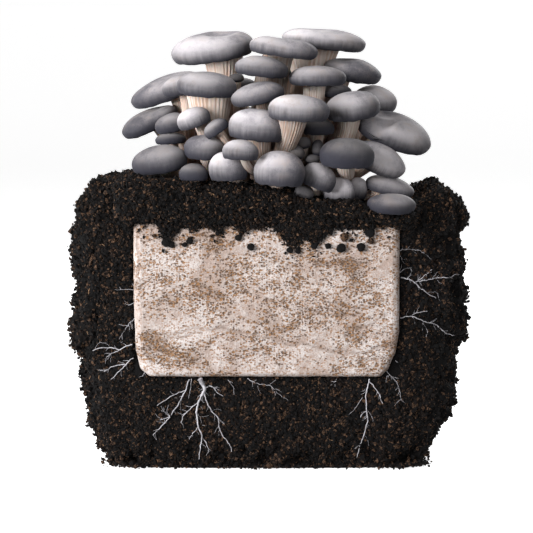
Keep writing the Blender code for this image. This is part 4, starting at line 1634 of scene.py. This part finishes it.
@dataclass(frozen=True)
class SawdustBlock:
    """The block of colonised sawdust: soft corners, a slightly bumpy skin, and creases left by its bag. Each
    crease is a line of points on the block's front, as x and z."""

    voxel: float = 1.2
    relief: Relief = Relief(13.0, 0.55, 2.4, 0.28)
    crease_depth: float = 0.6
    crease_width: float = 0.9
    creases: tuple = (
        ((-81, 96), (-66, 100), (-49, 101)),
        ((-84, 98), (-58, 105), (-30, 108), (10, 99), (48, 90), (94, 83)),
        ((58, 82), (72, 90), (90, 93), (97, 97)),
        ((-62, 172), (-50, 174), (-40, 176)),
        ((-97, 176), (-95, 160), (-97, 146)),
        ((66, 108), (78, 112), (92, 118)),
    )

    def build(self) -> None:
        """Builds and hands in the block."""
        block = remesh(node_copy("sawdust_block_skin", "sawdust_block"), self.voxel, 2)
        points = points_of(block.data)
        front = points[:, 1] < BLOCK_FRONT_Y + 3
        crease_and_shade = np.zeros(len(points))
        stray = np.stack([lumps(points, 14.0), lumps(points + 60, 14.0)], 1) * 5.0
        for crease in self.creases:
            away = distance_to_line(points[:, [0, 2]] + stray, np.array(crease, float))
            crease_and_shade = np.maximum(crease_and_shade, front * np.exp(-(away / self.crease_width) ** 2))
        points[:, 1] += crease_and_shade * self.crease_depth
        set_points(block.data, points)
        # The crease mask also paints shade in the creases: painted shade
        carry(block.data, "crease_and_shade", crease_and_shade)
        carry(block.data, "loose", np.ones(len(points)))
        made = self.relief.over("colonised_sawdust", block, ColonisedSawdust())
        hand_in(made, ("sawdust_block",))


def distance_to_line(flat: np.ndarray, line: np.ndarray) -> np.ndarray:
    """Distance in a plane from each point to a line of straight pieces.

    Args:
        flat: the points.
        line: the line's corners.

    Returns:
        The distances.
    """
    nearest = np.full(len(flat), np.inf)
    for start, end in zip(line, line[1:]):
        way = end - start
        share = np.clip(((flat - start) @ way) / (way @ way), 0, 1)
        nearest = np.minimum(nearest, np.linalg.norm(flat - start - share[:, None] * way, axis=1))
    return nearest


# Soil and mycelium


# How far down the block's face the soil's edge hangs, from left to right
SOIL_FRINGE = (
    (-104, 186), (-98, 189), (-87, 187.5), (-81, 184.5), (-78, 175), (-72, 174), (-66, 180), (-63, 184.5),
    (-54, 181), (-50, 185), (-41, 183), (-36, 180), (-31, 184), (-24, 185), (-20, 178), (-15, 179),
    (-11, 184), (-5, 183.8), (2.5, 185), (10, 180), (14.5, 170), (22, 168), (27.5, 176), (32.5, 172),
    (40, 172), (44.5, 178), (51.5, 183), (59, 183), (66, 184), (74, 181.5), (81, 183), (89, 186),
    (96, 184.5), (100, 181.5), (104, 183),
)

# The top of the soil heaped in front of the mushrooms, from left to right, just under the lowest caps
HEAP_CREST = (
    (-112, 222), (-104, 223), (-87, 221), (-69, 219), (-46, 216), (-31, 217.5), (-3, 215), (18, 211),
    (34, 204.5), (66, 204.5), (85, 198), (96, 194), (106, 198), (112, 206),
)

# Clods stuck to the block's face: x, z, radius, and how brown each is from nought to one
SOIL_CLODS = (
    (55.9, 168, 3.5, 0.1), (70.9, 168.8, 3.3, 0.1), (58.3, 176.3, 3.2, 0.95), (46, 169.5, 2.4, 0.2),
    (77.6, 179.5, 3.6, 0.2), (78.3, 173.3, 2.6, 0.9), (-11.6, 168.8, 2.7, 0.3), (-57.4, 173.5, 2.6, 0.3),
    (-61.5, 170.4, 2.0, 0.2), (17.5, 166.5, 2.6, 0.3), (-75.5, 172, 3.2, 0.3), (-71, 170.5, 2.4, 0.2),
    (23.5, 165.8, 2.2, 0.2), (-21, 176, 2.6, 0.4), (36, 170, 2.8, 0.3),
)

# Where the soil's sides part: how deep its front is, where the mound starts, its middle and the back
FRONT_DEPTH = 12.0
MOUND_FOOT_Z = 186.0
MOUND_MIDDLE_Y = -20.0
BACK_Y = 66.0


class SoilSide(Enum):
    """The sides of the soil, each with crumbs of its own."""

    FRONT_LEFT = "front_left"
    FRONT_RIGHT = "front_right"
    MOUND_FRONT = "mound_front"
    MOUND_BACK = "mound_back"
    BACK = "back"
    ENDS = "ends"

    def holds(self, points: np.ndarray) -> np.ndarray:
        """Which points of the soil belong to this side.

        Args:
            points: the points in millimetres.

        Returns:
            True at each that does.
        """
        x, y, z = points.T
        front = (y < SOIL_FRONT_Y + FRONT_DEPTH) & (z <= MOUND_FOOT_Z)
        mound = ~front & (z > MOUND_FOOT_Z)
        back = ~front & ~mound & (y > BACK_Y)
        return {
            SoilSide.FRONT_LEFT: front & (x <= 0),
            SoilSide.FRONT_RIGHT: front & (x > 0),
            SoilSide.MOUND_FRONT: mound & (y < MOUND_MIDDLE_Y),
            SoilSide.MOUND_BACK: mound & (y >= MOUND_MIDDLE_Y),
            SoilSide.BACK: back,
            SoilSide.ENDS: ~front & ~mound & ~back,
        }[self]


# Crumbs and fibres in a square centimetre of each side, and square centimetres in a square metre
PER_SQUARE_CM = 1e4
SOIL_COVER = {
    SoilSide.FRONT_LEFT: (140.0, 5.0),
    SoilSide.FRONT_RIGHT: (140.0, 5.0),
    SoilSide.MOUND_FRONT: (86.0, 5.0),
    SoilSide.MOUND_BACK: (26.0, 1.6),
    SoilSide.BACK: (22.0, 1.2),
    SoilSide.ENDS: (23.0, 1.4),
}


@dataclass(frozen=True)
class SoilBed:
    """The bed of soil: a lumpy, ragged mass with crumbs and fibres of many sizes lying on it. Cover is how
    thick the crumbs lie, settle how far the mound's shoulders sank, and foot the left, right, front and back
    edges on the floor."""

    voxel: float = 2.3
    relief: Relief = Relief(11.0, 3.4, 3.4, 1.8)
    cover: float = 2.5
    settle: float = 4.0
    foot: tuple = (-117.0, 119.0, -54.0, 84.0)
    thread_clearance: float = 1.9

    def heap(self) -> bpy.types.Object:
        """The soil that spills over the block's top front edge and lies round the lowest mushrooms.

        Returns:
            The heap, to be joined to the rest.
        """
        rings = []
        for x in np.arange(-112, 112.1, 2.0):
            edge = np.interp(x, *zip(*SOIL_FRINGE))
            crest = np.interp(x, *zip(*HEAP_CREST)) - self.cover
            out = float(eased(113 - abs(x), 0.0, 16.0)) * 10 + 2
            outline = (
                (-46, 191.5), (-46, crest - 1), (-56, crest + 0.5), (-60 - out * 0.6, crest - 1),
                (-61 - out, crest - 7), (-61 - out * 0.85, (crest + 190) / 2), (-61 - out * 0.45, 190),
                (-61.8, (edge + 190) / 2), (-61.2, edge), (-59.6, edge), (-59.6, 190.6),
            )
            rings.append([(x, y, z) for y, z in outline])
        return skin("soil_heap", np.array(rings))

    def looseness(self, points: np.ndarray) -> np.ndarray:
        """How freely the surface may move: not in the block's pocket or on the floor, little on the block.

        Args:
            points: the bed's points.

        Returns:
            From nought to one at each point.
        """
        x, y, z = points.T
        across = abs(x) < BLOCK_HALF_WIDTH + 1.5
        in_pocket = across & (z > BLOCK_BASE_Z - 1.5) & (z < BLOCK_TOP_Z + 1.5) & (y < 59.5) & (y > -59)
        on_block = (y < -59.4) & (abs(x) < BLOCK_HALF_WIDTH + 1) & (z < BLOCK_TOP_Z + 2)
        return eased(z, 0.5, 5.0) * ~in_pocket * np.where(on_block, 0.45, 1.0)

    def outline(self, points: np.ndarray) -> np.ndarray:
        """How near the surface is to the bed's outline seen from the front, which is the most ragged.

        Args:
            points: the bed's points.

        Returns:
            From nought to one at each point.
        """
        x, _, z = points.T
        near_ends = eased(abs(x - 1), 118, 140)
        near_top_or_foot = np.maximum(eased(z, 200, 216), 1 - eased(z, 8, 34))
        return np.maximum(near_ends, near_top_or_foot) * (1 - 0.6 * eased(z, 190, 205))

    def fall(self, points: np.ndarray) -> np.ndarray:
        """How far the mound's shoulders, beside the mushrooms, have settled.

        Args:
            points: the bed's points.

        Returns:
            The fall in millimetres at each point.
        """
        x, _, z = points.T
        shoulder = self.settle * eased(z, 196, 208) * eased(abs(x), 98, 112)
        return shoulder * np.where(x > 0, 0.6, eased(x, -131, -121))

    def build(self) -> bpy.types.Object:
        """Shapes the bed, which is handed in once crumbs lie on it.

        Returns:
            The bed, for what lies on it.
        """
        rough = remesh(joined("soil_rough", [node_copy("soil_copy", "soil"), self.heap()]), self.voxel, 1)
        points = points_of(rough.data)
        loose = self.looseness(points)
        edge = self.outline(points)
        points[:, 2] -= self.fall(points)
        swell = lumps(points + 300, 31.0) * 3.0 + lumps(points + 40, 13.0) * 8.0
        swell = swell + lumps(points + 90, 6.0) * 5.0 - 1.5
        normals = np.empty(len(points) * 3)
        rough.data.vertices.foreach_get("normal", normals)
        points += normals.reshape(-1, 3) * (swell * edge * loose)[:, None]
        points[:, 2] = np.maximum(points[:, 2], FLOOR_Z)
        set_points(rough.data, points)
        carry(rough.data, "loose", loose)
        bed = self.relief.over("soil_bed", rough, DampSoil("soil_mass"))
        keep_up(bed.data)
        # A low tone keeps the bed near black where it shows between crumbs: painted shade in the gaps, over
        # the soil's own dark colour
        carry(bed.data, "tone", np.full(len(bed.data.vertices), 0.25))
        return bed

    def scatter(self, bed: bpy.types.Object, threads: bpy.types.Object) -> None:
        """Lays crumbs and fibres on each side of the bed, and hands them in.

        Args:
            bed: the bed.
            threads: the lines of the mycelium, which stay clear.
        """
        loose = np.empty(len(bed.data.vertices))
        bed.data.attributes["loose"].data.foreach_get("value", loose)
        points = points_of(bed.data)
        for seed, (side, (crumbs, fibres)) in enumerate(SOIL_COVER.items()):
            carry(bed.data, "here", side.holds(points) * (loose > 0.3) * (points[:, 2] > 2.0))
            clear = {"Threads": threads, "Clear": self.thread_clearance * MM}
            self.strew(f"soil_crumbs_{side.value}", bed, crumbs, 3.8, {"Seed": 20 * seed} | clear)
            made = fibre_recipe().run(f"soil_fibres_{side.value}", bed, {
                "Density": fibres * PER_SQUARE_CM, "Shortest": 0.0012, "Longest": 0.006, "Thickness": 0.085,
                "Seed": 20 * seed + 7, "Material": material_of(DryFibre()),
            })
            keep_up(made.data)
            hand_in(made)

    def strew(
        self, name: str, ground: bpy.types.Object, density: float, largest: float, values: dict
    ) -> None:
        """Lays crumbs on a surface and hands them in.

        Args:
            name: the name of the crumbs.
            ground: the surface, whose points say where crumbs may lie.
            density: how many there are in a square centimetre.
            largest: the largest one's size in millimetres.
            values: their seed, and the threads to keep clear of.
        """
        made = crumb_recipe().run(name, ground, {
            "Density": density * PER_SQUARE_CM, "Smallest": 0.0008, "Largest": largest * MM, "Sink": 0.15,
            "Material": material_of(DampSoil("soil_crumbs")), **values,
        })
        keep_up(made.data)
        hand_in(made)

    def skirt(self) -> None:
        """Lays loose crumbs round the foot of the bed, and hands them in."""
        left, right, front, back = self.foot
        wide, deep = np.meshgrid(
            np.arange(left - 12, right + 12.1, 3.0), np.arange(front - 12, back + 12.1, 3.0), indexing="ij"
        )
        outside = np.hypot(
            np.maximum(0, np.maximum(left + 20 - wide, wide - right + 20)),
            np.maximum(0, np.maximum(front + 20 - deep, deep - back + 20)),
        ) - 20
        ground = grid("bed_foot", np.stack([wide, deep, np.full(wide.shape, 0.9)], 2))
        carry(ground.data, "here", (np.exp(-np.maximum(outside, 0) / 3.0) * (abs(outside) < 9)).ravel())
        self.strew("soil_crumbs_round_foot", ground, 55.0, 4.8, {"Seed": 411, "Clear": 0.0})
        bpy.data.objects.remove(ground)

    def fringe(self) -> None:
        """Sticks crumbs and clods to the block's face below the heap, and hands them in."""
        wide, high = np.meshgrid(np.arange(-101, 101.1, 2.0), np.arange(150, 192.1, 2.0), indexing="ij")
        edge = np.interp(wide, *zip(*SOIL_FRINGE))
        below = edge - high
        ground = grid("block_face", np.stack([wide, np.full(wide.shape, BLOCK_FRONT_Y - 0.1), high], 2))
        carry(ground.data, "here", (np.exp(-np.maximum(below, 0) / 4.5) * (below < 22)).ravel())
        self.strew("soil_crumbs_on_block", ground, 22.0, 3.6, {"Seed": 301, "Clear": 0.0})
        bpy.data.objects.remove(ground)
        clods = joined("soil_clods_on_block", [self.clod(*clod) for clod in SOIL_CLODS])
        dress(clods, DampSoil("soil_crumbs"))
        hand_in(clods)

    def clod(self, x: float, z: float, radius: float, brown: float) -> bpy.types.Object:
        """One clod stuck to the block's face.

        Args:
            x: its place across.
            z: its height.
            radius: its size.
            brown: how brown it is.

        Returns:
            The clod.
        """
        sides = 18
        angles = full_turn(sides)
        rings = []
        for polar in np.linspace(0, math.pi, 12)[1:-1]:
            flat = circle(angles) * math.sin(polar) * radius
            out = np.full(sides, -math.cos(polar) * radius * 0.7)
            rings.append(np.column_stack([flat[:, 0], out, flat[:, 1]]))
        points = np.array(rings)
        centre = np.array([x, BLOCK_FRONT_Y - radius * 0.45, z])
        points *= 1 + 0.28 * lumps(points + centre, radius * 0.8)[:, :, None]
        ends = (np.array([0, -radius * 0.7, 0]), np.array([0, radius * 0.7, 0]))
        carried = {"tone": np.full(points.shape[:2], brown)}
        return skin("clod", points + centre, tuple(end + centre for end in ends), carried)


@dataclass(frozen=True)
class Strand:
    """A branching thread: each line is (start radius, end radius, points as x and z)."""

    node: str
    lines: tuple


STRANDS = (
    Strand("mycelium_left_upper", (
        (1.3, 0.9, ((-101.5, 94), (-106, 93), (-111, 90), (-118, 91.5), (-126, 91), (-132, 89))),
        (0.9, 0.7, ((-110, 90.5), (-116, 87.5), (-121.5, 84))),
    )),
    Strand("mycelium_left_lower", (
        (1.2, 0.8, ((-100.5, 84), (-103, 82.5), (-107, 78), (-113, 71.5), (-118, 67))),
        (0.9, 0.7, ((-106, 78.5), (-112, 78.3), (-118, 76), (-123, 72.5))),
    )),
    Strand("mycelium_below_left", (
        (1.4, 0.8, ((-58.5, 68.5), (-61, 60), (-66.5, 49.5), (-73, 39.5), (-82.5, 29), (-86, 25.5))),
        (0.9, 0.7, ((-62, 59.5), (-71.5, 56), (-78, 51.5), (-82.5, 48))),
        (0.8, 0.7, ((-72.5, 40), (-78, 38), (-80.5, 37))),
    )),
    Strand("mycelium_below_centre", (
        (5.5, 2.2, ((-50.5, 68.5), (-47.5, 64), (-46.5, 60), (-48.5, 56))),
        (2.6, 0.9, (
            (-50.5, 68.5), (-46.5, 62.5), (-47.5, 58.5), (-51.5, 51.5), (-53, 42.5), (-51.5, 32.5),
            (-48.5, 24.5), (-50, 16), (-51, 7.5),
        )),
        (1.3, 0.8, (
            (-47, 59), (-46, 54), (-41.5, 43.5), (-36.5, 39.5), (-36, 32.5), (-33, 25), (-28.5, 20),
            (-26, 13.5),
        )),
        (1.1, 0.7, ((-46.5, 62), (-41.5, 63.7), (-36.5, 57.7), (-33, 55.5))),
        (1.0, 0.7, ((-51.8, 51), (-59.5, 44), (-63, 40.5), (-64.5, 35))),
        (0.8, 0.7, ((-51.5, 32), (-57, 25.5), (-58.5, 22.5))),
        (0.8, 0.7, ((-48.5, 24), (-45.5, 19.5), (-44, 13.5))),
    )),
    Strand("mycelium_below_right", (
        (1.5, 0.8, (
            (78, 68.5), (76.5, 64.5), (75, 55.5), (75.5, 45.5), (76.5, 37), (73.8, 26), (71, 18.5),
            (68.5, 8.5),
        )),
        (1.0, 0.7, ((77.5, 67), (81.5, 62), (85.5, 56.5), (87.5, 49.5))),
        (0.8, 0.7, ((75.5, 44), (72, 42), (71, 39))),
    )),
    Strand("mycelium_right_upper", (
        (1.3, 0.8, ((101, 145), (107.5, 143.8), (112, 141), (116, 137), (121.5, 133), (128, 129))),
        (1.0, 0.7, ((112.5, 141.5), (120.5, 142.5), (127, 144), (134.5, 144.7), (141, 143.5))),
        (0.8, 0.7, ((114, 142.5), (121.5, 147.8), (125, 150.5))),
    )),
    Strand("mycelium_right_lower", (
        (1.2, 0.8, (
            (101, 114.7), (108, 115.7), (114, 114), (120.5, 110.8), (128.5, 109), (132.5, 104.7),
            (137, 100.8),
        )),
        (0.8, 0.7, ((109, 115.5), (114, 118.5), (121.5, 119))),
    )),
)

# Threads too fine for solids of their own
FINE_STRANDS = Strand("", (
    (0.45, 0.25, ((-97.9, 135.8), (-104, 136.2), (-109.9, 135.8), (-114.4, 135.8))),
    (0.5, 0.3, ((-98.6, 126.8), (-103.9, 124.5), (-106.9, 125.3))),
    (0.55, 0.3, ((-98.1, 115), (-102.7, 111.5), (-106.7, 105.4), (-111.2, 98.4))),
    (0.4, 0.25, ((-102.7, 111.5), (-101.8, 108.5), (-101.2, 105.9))),
    (0.5, 0.3, ((-90.6, 76.3), (-93.6, 70.2))),
    (0.6, 0.3, ((-56.9, 68.7), (-57.5, 59.7), (-59, 53.2))),
    (0.4, 0.25, ((-62.5, 53.5), (-65, 51), (-65, 44.6))),
    (0.5, 0.3, ((-29.3, 68.7), (-27.8, 66.2), (-24.4, 61.2))),
    (0.7, 0.35, ((-14.3, 68.7), (-8.3, 65.3), (3.9, 63.4), (7.2, 59), (11.6, 54.6))),
    (0.4, 0.25, ((-6.8, 63.8), (-4.2, 57.2))),
    (0.35, 0.25, ((52.5, 68.7), (51.5, 62.5))),
    (0.5, 0.3, ((72.5, 54), (70.5, 51.3), (66.6, 45.2), (62.3, 41.4))),
    (0.6, 0.3, ((90.8, 74.4), (94.7, 70), (98.6, 65.6), (100.7, 59), (101.9, 51.3))),
    (0.4, 0.25, ((91.9, 70.5), (90.3, 69), (90.3, 65.6))),
    (0.4, 0.25, ((96.9, 82.1), (99.1, 81))),
    (0.55, 0.3, ((100.1, 165.8), (108.4, 166.6), (115.1, 165.2), (120.5, 162), (124.4, 158.1))),
    (0.35, 0.25, ((100.1, 162), (104, 155.3))),
    (0.45, 0.25, ((100.1, 148.7), (104, 152), (109.6, 152.3))),
    (0.45, 0.25, ((117.5, 112), (118.9, 109.6), (122.2, 103.6))),
    (0.35, 0.2, ((-72.5, 40), (-76, 43.5), (-80, 44.5))),
    (0.35, 0.2, ((-53, 44), (-49.5, 38), (-48.5, 33))),
    (0.35, 0.2, ((-41.5, 43.5), (-38.5, 46), (-34.5, 45))),
    (0.35, 0.2, ((75.5, 45.5), (79, 41), (80.5, 36))),
    (0.35, 0.2, ((73.8, 26), (76.5, 22), (77.5, 17))),
    (0.35, 0.2, ((121.5, 133), (125.5, 134), (129.5, 132.5))),
    (0.35, 0.2, ((-118, 91.5), (-121.5, 94.5), (-126.5, 95.5))),
))


@dataclass(frozen=True)
class Mycelium:
    """The white threads that spread from the block over the soil's cut face. Rise is how far they lie in
    front of the soil, so that crumbs don't bury them, and fineness their radius's share of a strand's."""

    rise: float = 2.5
    fineness: float = 0.34
    step: float = 0.8
    tremble: float = 2.2
    sides: int = 6
    twig_every: float = 7.0
    twig_length: float = 7.0
    twig_radius: float = 0.45

    def paths(self, name: str, strand: Strand, ground: BVHTree) -> bpy.types.Object:
        """The lines of a strand, laid on the soil.

        Args:
            name: the name of the result.
            strand: the strand.
            ground: the soil's surface.

        Returns:
            Lines of edges with a thickness at each point.
        """
        places, edges, thick = [], [], []
        for start, end, line in (*strand.lines, *self.twigs(strand)):
            corners = np.array(line, float)
            run = np.append(0, np.cumsum(np.linalg.norm(np.diff(corners, axis=0), axis=1)))
            steps = np.linspace(0, run[-1], max(4, round(run[-1] / 2.0)))
            flat = np.stack([np.interp(steps, run, corners[:, 0]), np.interp(steps, run, corners[:, 1])], 1)
            radii = start + (end - start) * steps / run[-1]
            depth = np.array([self.surface(ground, x, z) for x, z in flat])
            padded = np.pad(depth, 2, mode="edge")
            soft = np.minimum.reduce([padded[i:i + len(depth)] for i in range(5)])
            for number, ((x, z), y, radius) in enumerate(zip(flat, (soft + depth) / 2, radii)):
                places.append((x * MM, (y - self.rise - 0.3 * radius) * MM, z * MM))
                thick.append(radius * MM * self.fineness)
                if number:
                    edges.append((len(places) - 2, len(places) - 1))
        mesh = bpy.data.meshes.new(name)
        mesh.from_pydata(places, edges, [])
        carry(mesh, "thickness", np.array(thick))
        return add_object(name, mesh)

    def twigs(self, strand: Strand) -> list[tuple]:
        """Short side threads along a strand.

        Args:
            strand: the strand.

        Returns:
            Lines of the strand's own kind.
        """
        chance = np.random.default_rng(sum(map(ord, strand.node)))
        found = []
        for _, _, line in strand.lines:
            corners = np.array(line, float)
            for start, end in zip(corners, corners[1:]):
                way = end - start
                for _ in range(chance.poisson(np.linalg.norm(way) / self.twig_every)):
                    root = start + way * chance.uniform()
                    turn = math.atan2(way[1], way[0]) + chance.choice([-1, 1]) * chance.uniform(0.5, 1.1)
                    length = self.twig_length * chance.uniform(0.35, 1.0)
                    bend = turn + chance.uniform(-0.5, 0.5)
                    middle = root + np.array([math.cos(turn), math.sin(turn)]) * length / 2
                    tip = middle + np.array([math.cos(bend), math.sin(bend)]) * length / 2
                    corners_of_twig = (tuple(root), tuple(middle), tuple(tip))
                    found.append((self.twig_radius, self.twig_radius * 0.5, corners_of_twig))
        return found

    def surface(self, ground: BVHTree, x: float, z: float) -> float:
        """How far forward the soil reaches at a place on its front."""
        hit = ground.ray_cast(Vector((x * MM, -0.2, z * MM)), Vector((0, 1, 0)), 0.17)[0]
        return hit.y / MM if hit else SOIL_FRONT_Y

    def build(self, bed: bpy.types.Object) -> bpy.types.Object:
        """Builds and hands in the threads.

        Args:
            bed: the soil that they lie on.

        Returns:
            All their lines, to keep crumbs clear of.
        """
        ground = BVHTree.FromObject(bed, bpy.context.evaluated_depsgraph_get())
        lines = []
        for seed, strand in enumerate((*STRANDS, FINE_STRANDS)):
            name = f"{strand.node}_threads" if strand.node else "mycelium_fine_threads"
            paths = self.paths(f"{name}_lines", strand, ground)
            made = thread_recipe().run(name, paths, {
                "Step": self.step * MM, "Tremble": self.tremble * MM, "Sides": self.sides, "Seed": seed,
                "Material": material_of(MyceliumThread()),
            })
            hand_in(made, (strand.node,) if strand.node else ())
            lines.append(paths)
        return joined("thread_lines", lines)


# Studio


@dataclass(frozen=True)
class Lamp:
    """A soft square lamp: where it stands and its size, in metres, and its power."""

    name: str
    stand: tuple
    size: float
    power: float


@dataclass(frozen=True)
class Studio:
    """A seamless pale bowl, soft lamps, and the camera where the photograph was taken from."""

    lamps: tuple[Lamp, ...] = (
        Lamp("key", (-1.35, -1.4, 0.95), 0.6, 38.0),
        Lamp("side", (-1.8, -1.3, 0.3), 0.7, 66.0),
        Lamp("fill", (1.3, -1.8, 0.5), 1.0, 13.0),
        Lamp("front", (0.0, -1.6, 1.5), 0.8, 5.0),
        Lamp("top", (-0.4, 0.1, 1.7), 0.8, 5.0),
        Lamp("rim", (-1.8, 0.4, 0.9), 0.8, 20.0),
        Lamp("back", (0.9, 1.6, 1.0), 1.0, 30.0),
    )
    aim: tuple = (0.0, 0.0, 0.2)
    sky: float = 0.03
    radius: float = 4.2
    bend: float = 1.2
    height: float = 3.0

    def build(self) -> None:
        """Sets the bowl, the lamps, the sky and the camera."""
        self.bowl()
        for lamp in self.lamps:
            self.light(lamp)
        world = bpy.data.worlds.new("studio")
        world.use_nodes = True
        back = world.node_tree.nodes["Background"]
        back.inputs["Color"].default_value = (1.0, 1.0, 1.0, 1.0)
        back.inputs["Strength"].default_value = self.sky
        bpy.context.scene.world = world
        bpy.context.scene.view_settings.view_transform = "Standard"
        self.camera()

    def bowl(self) -> None:
        """The floor, which bends up into a wall all round."""
        profile = [(self.radius * share, 0.0) for share in (0.15, 0.4, 0.7, 1.0)]
        for turn in np.linspace(0, math.pi / 2, 13)[1:]:
            profile.append((self.radius + self.bend * math.sin(turn), self.bend * (1 - math.cos(turn))))
        profile.append((self.radius + self.bend, self.height))
        angles = np.linspace(0, TURN, 64, endpoint=False)
        rings = [raised(circle(angles) * radius, z) for radius, z in profile]
        bowl = skin("studio_bowl", np.array(rings) / MM, ((0.0, 0.0, 0.0), (0.0, 0.0, self.height / MM)))
        dress(bowl, PaleFloor())
        bowl.visible_diffuse = False

    def light(self, lamp: Lamp) -> None:
        """Sets one lamp.

        Args:
            lamp: the lamp.
        """
        made = bpy.data.lights.new(lamp.name, "AREA")
        made.size = lamp.size
        made.energy = lamp.power
        holder = bpy.data.objects.new(lamp.name, made)
        holder.location = lamp.stand
        way = Vector(self.aim) - Vector(lamp.stand)
        holder.rotation_euler = way.to_track_quat("-Z", "Y").to_euler()
        bpy.context.scene.collection.objects.link(holder)

    def camera(self) -> None:
        lens = bpy.data.cameras.new("camera")
        lens.lens = CAMERA_LENS
        lens.sensor_width = CAMERA_FILM
        lens.clip_start = 0.05
        lens.clip_end = 30.0
        holder = bpy.data.objects.new("camera", lens)
        tilt = math.radians(CAMERA_ELEVATION)
        back = Vector((0.0, -math.cos(tilt), math.sin(tilt))) * CAMERA_DISTANCE
        holder.location = (Vector(CAMERA_AIM) + back) * MM
        holder.rotation_euler = (math.pi / 2 - tilt, 0.0, 0.0)
        bpy.context.scene.collection.objects.link(holder)
        bpy.context.scene.camera = holder


def main() -> None:
    logging.basicConfig(level=logging.INFO, format="%(message)s")
    SawdustBlock().build()
    soil = SoilBed()
    bed = soil.build()
    threads = Mycelium().build(bed)
    soil.scatter(bed, threads)
    soil.fringe()
    soil.skirt()
    bpy.data.objects.remove(threads)
    hand_in(bed, ("soil",))
    for bundle in BUNDLES:
        bundle.build()
    Studio().build()


if __name__ == "__main__":
    main()
